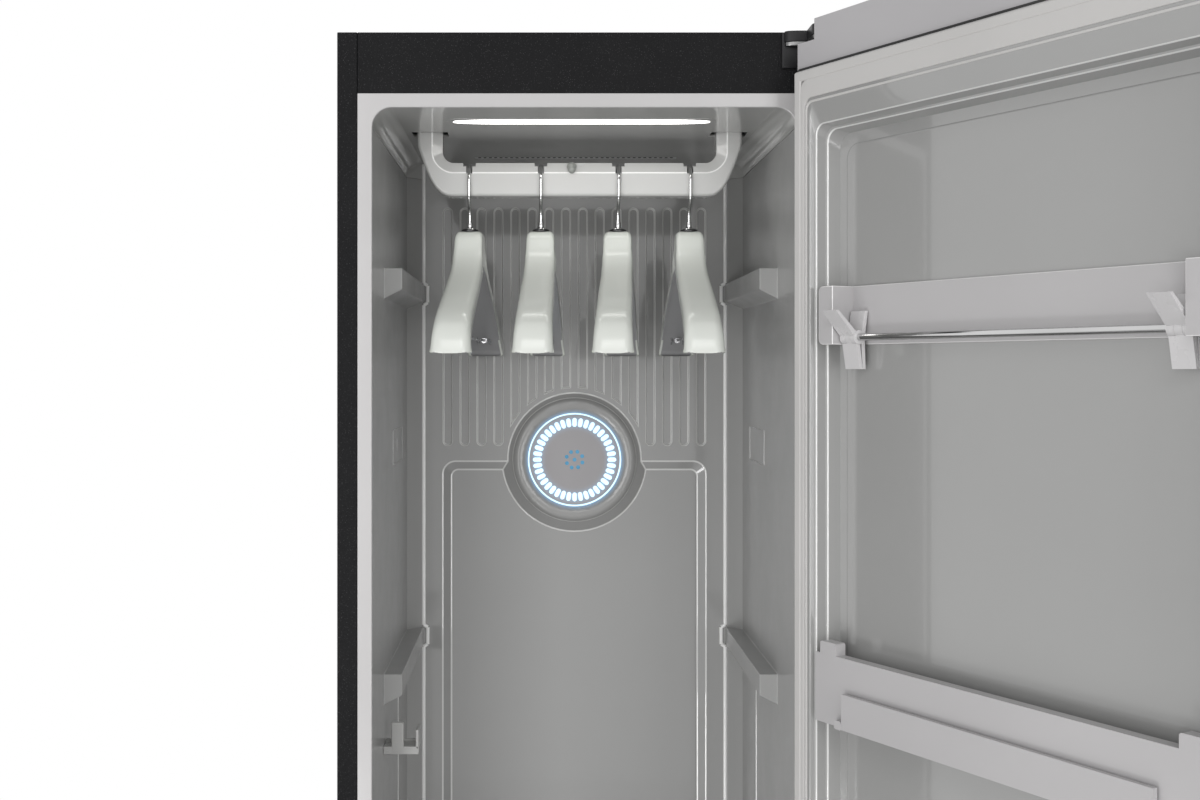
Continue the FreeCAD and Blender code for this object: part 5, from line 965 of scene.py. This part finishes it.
def make_hanger_fittings():
    """The rod, its end buttons and the ears beside them, where the flat lower face is met."""
    bm = bmesh.new()
    (start, top), (end, low) = HANGER_RIM[8], HANGER_RIM[15]
    reach = start + (end - start) * (top + BAR_FALL) / (top - low)
    slope = math.atan2(top - low, end - start)
    add_rod(bm, (0, -reach, -BAR_FALL), (0, reach, -BAR_FALL), BAR_RADIUS)
    for side in (-1, 1):
        turn = Matrix.Rotation(-side * slope, 3, "X")
        for x in (-EAR_SPREAD, EAR_SPREAD):
            add_block(bm, (x, side * (reach + EAR_SHIFT[0]), EAR_SHIFT[1] - BAR_FALL), EAR_SIZE,
                      EAR_ROUND, turn)
        start, end = ((0, side * (reach + shift), -BAR_FALL) for shift in BUTTON_SPAN)
        add_rod(bm, start, end, BUTTON_RADIUS)
    return bm


print("fittings helpers ready")

# %% [markdown]
# ### Four hangers
# Each hanger is built at the origin and moved to its swivel joint, turned by the few degrees it happens
# to hang at. Only the shell replaces the part: the fittings ride along with it.

# %% Hangers in their places
HANGER_TOP = 1737.25 * MM
YAWS = (-4.4, -3.1, -5.0, -0.2)
SHELL_CREASE = 40

for number, (joint, yaw) in enumerate(zip(SWIVELS, YAWS), start=1):
    parts = (("shell", make_hanger_shell(), "hanger", SHELL_CREASE, "hanger_underside_shade"),
             ("fittings", make_hanger_fittings(), "steel", CREASE, None),
             ("collar", spun(COLLAR), "collar", CREASE, None),
             ("ferrule", spun(FERRULE), "chrome", SHELL_CREASE, None))
    for part, bm, finish, crease, second in parts:
        bmesh.ops.rotate(bm, matrix=Matrix.Rotation(math.radians(yaw), 3, "Z"), verts=bm.verts)
        bmesh.ops.translate(bm, vec=(*joint["pos_m"][:2], HANGER_TOP), verts=bm.verts)
        replaced = (f"hanger_{number}",) if part == "shell" else ()
        finish_piece(f"hanger_{number}_{part}", bm, joint["child"], "hanger", replaced, crease,
                     material=finish, second=second)
print("hangers:", [joint["child"] for joint in SWIVELS])

# %% [markdown]
# ## Door pan
# The inside of the door is one large glossy moulding. It is a set of nested rounded rectangles, one for
# each edge of its stepped side: a border with a narrow groove, two ledges and the floor with a faint
# raised field. The rows of a grid are laid on them with the door shut, the edges are rounded, and the
# whole is turned to the open place. Solidify then gives the sheet its thickness on the hidden side.

# %% Door pan
HINGE = next(joint for joint in frame["joints"] if joint["name"] == "door_hinge")
DOOR_OPEN = 119  # degrees from shut to the place where the construction has it
OPEN_TURN = Matrix.Rotation(math.radians(DOOR_OPEN), 3, "Z")
PAN_CORNER_STEPS = 7
PAN_ROWS = [  # half width, low, high, corner radius, depth
    (277.7, 81.3, 1886.7, 12, -277.0), (277.7, 81.3, 1886.7, 12, -267.0),
    (270.8, 88.2, 1874.0, 11, -267.0), (269.9, 89.1, 1873.1, 11, -268.8),
    (268.3, 90.7, 1871.5, 11, -268.8), (267.4, 91.6, 1870.6, 11, -267.0),
    (262.7, 96.3, 1855.7, 10, -267.0), (261.6, 98.0, 1837.5, 13, -272.5),
    (258.6, 101.0, 1834.0, 12, -273.5), (257.6, 102.5, 1831.0, 14, -286.5),
    (255.0, 105.0, 1828.0, 14, -287.5), (252.7, 108.0, 1824.0, 19, -304.0),
    (241.0, 121.0, 1811.0, 18, -304.0), (239.6, 122.4, 1809.6, 17, -303.0),
]
PAN_EDGE = 1.1 * MM
PAN_WALL = 2.0 * MM
PAN_HIGHLIGHTED = (-0.3025, -0.270)  # only the edges between these depths keep the lighter finish, a painted highlight


def rounded_rectangle(half, low, high, corner, depth):
    """Points of an upright rounded rectangle in millimetres, closed by its first point."""
    points = []
    for number, (x, z) in enumerate(((half, high), (-half, high), (-half, low), (half, low))):
        centre_x = x - math.copysign(corner, x)
        centre_z = z - corner if z == high else z + corner
        for step in range(PAN_CORNER_STEPS + 1):
            turn = math.pi / 2 * (number + step / PAN_CORNER_STEPS)
            points.append((centre_x + corner * math.cos(turn), depth, centre_z + corner * math.sin(turn)))
    return points + points[:1]


def swing(bm, turn=OPEN_TURN):
    """Turn a shape about the hinge, by default from shut to open."""
    hinge = Vector((HINGE["pos_m"][0], HINGE["pos_m"][1], 0))
    bmesh.ops.rotate(bm, cent=hinge, matrix=turn, verts=bm.verts)


def make_door_pan():
    bm = lofted([rounded_rectangle(*row) for row in PAN_ROWS])
    floor_reach = (PAN_ROWS[-1][0] + 1) * MM
    inner = [edge for edge in bm.edges if len(edge.link_faces) == 1
             and abs(edge.verts[0].co.x) < floor_reach]
    bmesh.ops.holes_fill(bm, edges=inner, sides=0)
    face_outward(bm)
    if max(bm.faces, key=lambda face: face.calc_area()).normal.y < 0:
        bmesh.ops.reverse_faces(bm, faces=bm.faces)
    # The rounded ridges get the lighter finish, a painted highlight, except outside the depths below.
    rounded = round_off(bm, PAN_EDGE, 3, outward=True, highlight_index=1)
    for face in bm.faces:
        if not PAN_HIGHLIGHTED[0] < face.calc_center_median().y < PAN_HIGHLIGHTED[1]:
            face.material_index = 0
    swing(bm)
    pan = finish_piece("door_liner_pan", bm, "door", "door_liner", ("door_liner",), second="liner_painted_highlight")
    wall = pan.modifiers.new("wall", "SOLIDIFY")
    wall.thickness = PAN_WALL
    wall.offset = -1
    return rounded


print("pan edges rounded:", make_door_pan())

# %% [markdown]
# ## Seams and small marks
# Where the back moulding meets a side wall there is a fine rounded bead from floor to ceiling, with a step
# round each lug; its near-white colour paints the bright line of light that it catches. Each side wall has
# a faint raised rectangle and an upright line, and the upright lines are light grey, a painted highlight.
# They are only a few millimetres wide, so thin round rods sunk into the wall are enough.

# %% Seams and marks on the walls
CAVITY_SPAN = (430.0, 1868.0)
LUG_SPANS = ((1121.0, 1155.0), (1650.0, 1684.0))
SEAM_X = 233.5
SEAM_Y = 205.0
SEAM = {"radius": 3.0, "segments": 12}
JOG = (6.0, 4.0)  # how far the bead steps in round a lug, and over what height
WALL_X = 257.5
LINE = {"radius": 0.9, "segments": 10}
MARK_SINK = 0.3
MARK = ((-25.0, 1418.0), (105.0, 1418.0), (105.0, 1466.0), (-25.0, 1466.0))  # corners (y, z)
STROKE = (28.0, 1433.0, 1452.0)  # y and the two ends
WALL_LINE = (47.0, 432.0, 1092.0)


def make_seams():
    levels = [CAVITY_SPAN[0]] + [level for span in LUG_SPANS for level in span] + [CAVITY_SPAN[1]]
    bm = bmesh.new()
    for side in (-1, 1):
        outer, inner = side * SEAM_X, side * (SEAM_X - JOG[0])
        for low, high in zip(levels[::2], levels[1::2]):
            add_rod(bm, (outer, SEAM_Y, low), (outer, SEAM_Y, high), **SEAM)
        for low, high in LUG_SPANS:
            path = ((outer, low), (inner, low + JOG[1]), (inner, high - JOG[1]), (outer, high))
            for start, end in zip(path, path[1:]):
                add_rod(bm, (start[0], SEAM_Y, start[1]), (end[0], SEAM_Y, end[1]), **SEAM)
    # The bead is near white: a painted highlight line.
    finish_piece("back_seams", bm, "cabinet", "liner", material="seam")


def make_wall_marks():
    """A fine raised line round a rectangle on each wall, and an upright stroke on the left one."""
    bm = bmesh.new()
    for side in (-1, 1):
        x = side * (WALL_X - MARK_SINK)
        for start, end in zip(MARK, MARK[1:] + MARK[:1]):
            add_rod(bm, (x, *start), (x, *end), **LINE)
    y, low, high = STROKE
    add_rod(bm, (MARK_SINK - WALL_X, y, low), (MARK_SINK - WALL_X, y, high), **LINE)
    finish_piece("wall_marks", bm, "cabinet", "liner")
    bm = bmesh.new()
    y, low, high = WALL_LINE
    for x in (-WALL_X, WALL_X):
        add_rod(bm, (x, y, low), (x, y, high), **LINE)
    # The upright lines take the lighter edge finish: painted highlight lines.
    finish_piece("wall_lines", bm, "cabinet", "liner", material="liner_painted_highlight")


make_seams()
make_wall_marks()
print("seams at x =", SEAM_X, "mm on both sides")

# %% [markdown]
# ### Vent and blue holes
# A row of small square holes lets air through the ceiling, and the steam outlet's nine holes show a blue
# light behind. The holes of the vent are dark tiles on a strip, whose black paints the shade inside the
# holes, and the blue ones are short thin rods.

# %% Vent and blue holes
VENT = (-148.0, 148.0, 139.0, 37)  # first and last x, y and the number of holes
VENT_STRIP = (4.0, 1869.2, 9, 4.0, 8)  # behind the holes by, level, depth, height, spare length
VENT_HOLE = (-0.3, 1868.9, 0.52, 1.0, 1.9)  # in front by, level, share of the pitch, depth, height


def make_ceiling_vent():
    """A low sloping step below the ceiling with a row of dark square holes in it."""
    first, last, y, count = VENT
    pitch = (last - first) / count
    bm = bmesh.new()
    back, level, deep, high, spare = VENT_STRIP
    add_block(bm, ((first + last) / 2, y + back, level), (last - first + spare, deep, high), 0.8)
    strip = set(bm.faces)
    back, level, share, deep, high = VENT_HOLE
    for number in range(count):
        add_block(bm, (first + pitch * (number + 0.5), y + back, level), (pitch * share, deep, high))
    # The tiles are black: painted shade inside the holes.
    for face in set(bm.faces) - strip:
        face.material_index = 1
    finish_piece("ceiling_vent", bm, "cabinet", "liner", second="rubber")


disc_low, disc_high = (Vector(corner) * 1000 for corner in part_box("steam_disc"))
HOLES = 8
HOLE_CIRCLE = 12.9
HOLE_START = 25.0
HOLE_RADIUS = 3.0
HOLE_DEPTHS = (0.7, 2.2)  # behind the disc's face


def make_blue_holes():
    middle = (disc_low + disc_high) / 2
    spots = [(0.0, 0.0)]
    for number in range(HOLES):
        turn = math.radians(HOLE_START + 360 / HOLES * number)
        spots.append((HOLE_CIRCLE * math.cos(turn), HOLE_CIRCLE * math.sin(turn)))
    bm = bmesh.new()
    for x, z in spots:
        start, end = (Vector((middle.x + x, disc_low.y + depth, middle.z + z)) for depth in HOLE_DEPTHS)
        add_rod(bm, start, end, HOLE_RADIUS)
    finish_piece("blue_holes", bm, "cabinet", "glow", material="blue_hole")


make_ceiling_vent()
make_blue_holes()
print("disc face at y =", round(disc_low.y, 1), "mm")

# %% [markdown]
# ## Upper hinge
# The upper hinge is a dark arm over a bright steel leaf. The arm is a copy of the construction, cut at
# one level with bisect_plane, and the faces under the cut get the brushed steel. A cap and a leaf with
# the arm's outline then give it clean rounded rims: one flat face is drawn and extruded.

# %% Hinge
LEAF_LEVEL = 1946.5 * MM
LEAF_FRONT = -0.2695  # faces behind this belong to the cabinet's side of the hinge
SMALL_EDGE = {"radius": 0.8 * MM, "shortest": 1.5 * MM}


def make_hinge_top():
    bm = welded("hinge_top")
    bmesh.ops.bisect_plane(bm, geom=bm.verts[:] + bm.edges[:] + bm.faces[:], dist=WELD,
                           plane_co=(0, 0, LEAF_LEVEL), plane_no=(0, 0, 1))
    round_off(bm, **SMALL_EDGE)
    for face in bm.faces:
        spot = face.calc_center_median()
        if spot.z < LEAF_LEVEL and spot.y < LEAF_FRONT:
            face.material_index = 1
    finish_copy("hinge_top", bm, second="hinge_leaf")


# The arm's outline from above: its root, the middle and radius of its round end, and its other side.
HINGE_ROOT = [(242.5, -269.2), (243.2, -271.8), (245.6, -273.9), (250.0, -275.4), (257.0, -276.2),
              (268.4, -276.4), (268.4, -305.0)]
HINGE_EYE = (283.0, -305.0, 14.6)
HINGE_END = [(299.6, -277.0), (299.6, -269.2)]
HINGE_STEPS = 16
PLATE_ROUND = 0.7 * MM
HINGE_PLATES = (  # name, finish, how far it is drawn in, low, high
    ("hinge_cap", "hinge", 0.0, 1946.5, 1959.6), ("hinge_leaf", "hinge_leaf", 0.9, 1941.4, 1946.4))


def extrude_plate(bm, spots, low, high):
    """One flat face through the points, drawn up between two heights in millimetres."""
    base = bm.faces.new([bm.verts.new(Vector((*spot, low)) * MM) for spot in spots])
    made = bmesh.ops.extrude_face_region(bm, geom=[base])["geom"]
    bmesh.ops.translate(bm, vec=(0, 0, (high - low) * MM),
                        verts=[part for part in made if isinstance(part, bmesh.types.BMVert)])
    face_outward(bm)


def add_hinge_plate(bm, inset, low, high):
    """A flat plate with the outline of the arm, drawn in a little and drawn up to a height."""
    x, y, radius = HINGE_EYE
    outline = [Vector(spot) for spot in HINGE_ROOT]
    outline += [Vector((x + radius * math.cos(turn), y + radius * math.sin(turn)))
                for turn in (math.pi * (1 + step / HINGE_STEPS) for step in range(1, HINGE_STEPS + 1))]
    outline += [Vector(spot) for spot in HINGE_END]
    spots = [spot + Vector((inset if spot.x < x else -inset, 0)) for spot in outline]
    extrude_plate(bm, spots, low, high)


def make_hinge_cover():
    for name, finish, inset, low, high in HINGE_PLATES:
        bm = bmesh.new()
        add_hinge_plate(bm, inset, low, high)
        round_off(bm, PLATE_ROUND, 3)
        finish_piece(name, bm, "cabinet", "hinge", material=finish)


make_hinge_top()
make_hinge_cover()
print("hinge leaf cut at", LEAF_LEVEL)

# %% [markdown]
# ### Gasket
# A soft gasket runs round the door. Outside it lies a narrow black strip, painted shadow of the gap round
# the gasket, which shows as a black line, and two flat ridges lead from the gasket to the pan. It is drawn
# with the door shut, where its front is one plane, and then swung open. The black strip and the ridges
# are lofts of rounded rectangles.

# %% Gasket, its lip and the painted shadow round it
GASKET_FACE = -0.2685  # points in front of this are the gasket's face
GASKET_FRONT = -0.2653
GASKET_ROUND = 1.6 * MM
LIP_CREASE = 50


def make_gasket():
    """The soft gasket stands a little prouder when the door is open than when it is pressed shut."""
    bm = welded("door_gasket")
    swing(bm, OPEN_TURN.inverted())
    face = [vert for vert in bm.verts if vert.co.y > GASKET_FACE]
    for vert in face:
        vert.co.y = GASKET_FRONT
    rounded = round_off(bm, GASKET_ROUND, 4)
    swing(bm)
    finish_copy("door_gasket", bm)
    return len(face), rounded


LIP = [  # half width, low, high, corner radius, depth: two flat ridges with a slit between them
    (279.0, 80.0, 1888.0, 12, -268.6), (278.6, 80.4, 1887.6, 12, -266.2), (277.8, 81.2, 1886.8, 12, -265.6),
    (272.4, 86.6, 1867.0, 11, -265.6), (271.6, 87.4, 1866.0, 11, -266.0), (271.3, 87.7, 1865.5, 11, -268.4),
    (270.2, 88.8, 1863.0, 11, -268.4), (269.9, 89.1, 1862.5, 11, -266.6), (269.2, 89.8, 1861.5, 10, -266.0),
    (268.2, 90.8, 1860.0, 10, -266.4), (267.8, 91.2, 1859.0, 10, -268.6)]
# A black strip outside the gasket: painted shadow of the gap.
GASKET_SHADOW = [  # the same for the strip behind the gasket
    (290.0, 69.0, 1899.0, 3, -277.5), (290.0, 69.0, 1899.0, 3, -276.2),
    (296.4, 62.6, 1905.4, 4, -276.2), (296.4, 62.6, 1905.4, 4, -277.5)]


def make_round_the_door(name, rows, **looks):
    """A loft of rounded rectangles, drawn with the door shut and then opened with it."""
    bm = lofted([rounded_rectangle(*row) for row in rows])
    face_outward(bm)
    swing(bm)
    finish_piece(name, bm, "door", "gasket", **looks)


print("gasket points drawn out, edges rounded:", make_gasket())
make_round_the_door("gasket_lip", LIP + LIP[:1], crease=LIP_CREASE)
# The strip is black: painted shadow in the gap round the gasket.
make_round_the_door("gasket_shadow_strip", GASKET_SHADOW, material="rubber")

# %% [markdown]
# ## Fittings on the door
# The bracket of the clips, the trouser rail and its flap are satin mouldings with round corners. The
# corner edges run along the door's thickness, so they are found by their direction and get a wide
# bevel. After that, all other edges are broken by a narrow one, whose faces get a lighter finish: a
# painted highlight.

# %% Door fittings
THROUGH_DOOR = OPEN_TURN @ Vector((0, 1, 0))
PARALLEL = 0.99  # least cosine between an edge and its direction
SQUARE = 12  # degrees that a corner may be off a right angle
CORNER_SEGMENTS = 5
FITTING_CORNERS = (("clip_bracket", 7 * MM, True), ("trouser_rail", 3 * MM, False),
                   ("trouser_flap", 2 * MM, True))


def round_corners(bm, along, radius, ends_only):
    """Round the outward edges that run in one direction, or only those at the piece's two ends."""
    edges = [edge for edge in sharp_edges(bm) if edge.is_convex
             and abs((edge.verts[1].co - edge.verts[0].co).normalized().dot(along)) > PARALLEL
             and abs(math.degrees(edge.calc_face_angle()) - 90) < SQUARE]
    if ends_only:
        across = Vector((along.y, -along.x, 0))
        places = [edge.verts[0].co.dot(across) for edge in edges]
        edges = [edge for edge, place in zip(edges, places)
                 if place < min(places) + MM or place > max(places) - MM]
    bevel(bm, edges, radius, CORNER_SEGMENTS, clamp=False)
    return len(edges)


for node, corner, ends_only in FITTING_CORNERS:
    bm = welded(node)
    corners = round_corners(bm, THROUGH_DOOR, corner, ends_only)
    # The narrow bevels get the lighter finish: painted highlight lines.
    edges = round_off(bm, **SMALL_EDGE, outward=True, highlight_index=1)
    finish_copy(node, bm, second="fitting_painted_highlight")
    print(node, corners, "corners,", edges, "edges")

# %% [markdown]
# ## Lamp and the other parts
# The lamp's window is a long plate whose ends taper to a point, with a trim of the ceiling's colour round
# it. Half an ellipse at each end gives the taper. All other parts keep the shape of the construction and
# only get their edges rounded. Parts whose edges are already drawn, such as the hooks, stay as they are.

# %% Lamp and other parts, as welded copies
LAMP_WINDOW = {"half": 165.0, "front": -178.5, "back": -153.3, "taper": 52.0, "low": 1868.0, "high": 1872.0}
LAMP_TRIM = {"half": 174.0, "front": -188.0, "back": -136.0, "taper": 20.0, "low": 1868.6, "high": 1871.0}
TAPER_STEPS = 12


def tapered_plate(shape):
    """A long flat plate with rounded ends, drawn as one face and extruded upwards."""
    bm = bmesh.new()
    middle, deep = (shape["front"] + shape["back"]) / 2, (shape["back"] - shape["front"]) / 2
    spots = []
    for side in (1, -1):
        for step in range(TAPER_STEPS + 1):
            turn = math.pi / 2 - math.pi * step / TAPER_STEPS
            spots.append((side * (shape["half"] - shape["taper"] * (1 - math.cos(turn))),
                          middle + side * deep * math.sin(turn)))
    extrude_plate(bm, spots, shape["low"], shape["high"])
    return bm


finish_piece("lamp_window", tapered_plate(LAMP_WINDOW), "cabinet", SLOT_OF["lamp_lens"],
             replaces=("lamp_lens",))
# The trim takes the ceiling's lighter grey, which paints light onto it.
finish_piece("lamp_trim", tapered_plate(LAMP_TRIM), "cabinet", "liner", material="ceiling")
# The clips' rounded edges get the lighter finish: a painted highlight.
soften(("left_clip", "left_clip_jaw", "right_clip", "right_clip_jaw"), 0.6, painted_highlight="fitting_painted_highlight",
       material="clip")
REST = {  # rounding in millimetres and segments of the bevel
    "ring_bezel": (0.0, 0), "ring_light": (0.4, 2), "steam_disc": (0.0, 0), "dash_lights": (0.0, 0),
    "steam_plenum": (0.0, 0), "steam_pipe": (0.0, 0), "hanger_carriage": (0.5, 1), "hanger_guides": (0.4, 1),
    "motor_crank": (0.3, 1), "hanger_motor": (0.4, 1), "hanger_hooks": (0.0, 0), "door_front_panel": (0.8, 2),
    "door_shell": (1.0, 3), "hinge_bottom": (0.8, 2), "clip_rod": (0.3, 2), "tank_bay": (0.5, 1),
    "supply_tank": (1.2, 3), "drain_tank": (1.2, 3), "lint_filter": (0.5, 2), "outlet_grille": (0.4, 1),
    "air_duct": (0.5, 1), "fan_impeller": (0.0, 0), "fan_motor": (0.8, 2), "heat_exchanger": (0.0, 0),
    "compressor": (2.0, 3), "steam_generator": (2.0, 3), "water_pump": (1.0, 2), "control_box": (2.0, 3),
    "cord_gland": (0.8, 2),
}
for node, (radius, segments) in REST.items():
    soften((node,), radius, segments)

# %% [markdown]
# ## Studio
# The floor is pale and the background white. The world is full white only where the camera or a mirror
# looks straight at it, and gives less than half of that as light. Two large soft lamps stand in front
# and one hangs high. A low lamp reaches up under the ceiling, and a tall narrow strip on the left draws
# bright lines on upright rounded edges.

# %% Floor, world and lamps
FLOOR_REACH = 2.9


def make_floor():
    bm = bmesh.new()
    bmesh.ops.create_grid(bm, x_segments=8, y_segments=8, size=FLOOR_REACH)
    floor = add_object("floor", mesh_from(bm, "floor"))
    tree, shader, where = new_finish("floor")
    tone = place_group(tree, TONE, where, Colour=(0.82, 0.82, 0.82, 1), Drift=0.02, Scale=0.6)
    tree.links.new(tone, shader.inputs["Base Color"])
    shader.inputs["Roughness"].default_value = 0.6
    floor.data.materials.append(MATERIALS["floor"])


def make_world(strength):
    """White for the camera and for mirrors, and a weaker white as light."""
    world = bpy.data.worlds.new("studio")
    bpy.context.scene.world = world
    world.use_nodes = True
    tree = world.node_tree
    background = tree.nodes["Background"]
    background.inputs["Color"].default_value = (1, 1, 1, 1)
    rays = tree.nodes.new("ShaderNodeLightPath").outputs
    seen = rays["Is Camera Ray"]
    for name in ("Is Glossy Ray", "Is Transmission Ray"):
        seen = maths(tree, "MAXIMUM", seen, rays[name])
    tree.links.new(remap(tree, seen, 0.0, 1.0, strength, 1.0), background.inputs["Strength"])


def add_lamp(name, spot, aim, width, height, power):
    light = bpy.data.lights.new(name, "AREA")
    light.shape = "RECTANGLE"
    light.size, light.size_y = width, height
    light.energy = power
    lamp = add_object(name, light)
    lamp.location = spot
    lamp.rotation_euler = (Vector(aim) - Vector(spot)).to_track_quat("-Z", "Y").to_euler()


WORLD_LIGHT = 0.40
MIDDLE = (0.0, 0.0, 1.35)
LAMPS = (  # name, place, what it aims at, width, height, watts
    ("left", (-1.85, -5.0, 1.6), MIDDLE, 1.4, 3.0, 64),
    ("right", (1.85, -5.0, 1.6), MIDDLE, 1.4, 3.0, 60),
    ("high", (-0.1, -4.6, 3.9), MIDDLE, 2.4, 1.1, 32),
    ("low", (-0.95, -1.9, 0.3), (0.1, 0.0, 1.75), 0.9, 0.4, 9),
    ("side", (-2.7, -2.4, 1.5), (0.4, -0.5, 1.4), 0.15, 1.8, 10))
make_floor()
make_world(WORLD_LIGHT)
for lamp in LAMPS:
    add_lamp(*lamp)
print("stage ready, lamps:", len(LAMPS))

# %% [markdown]
# ## Count
# The number of pieces is printed.

# %% Count the pieces
print(len(PIECES), "pieces")
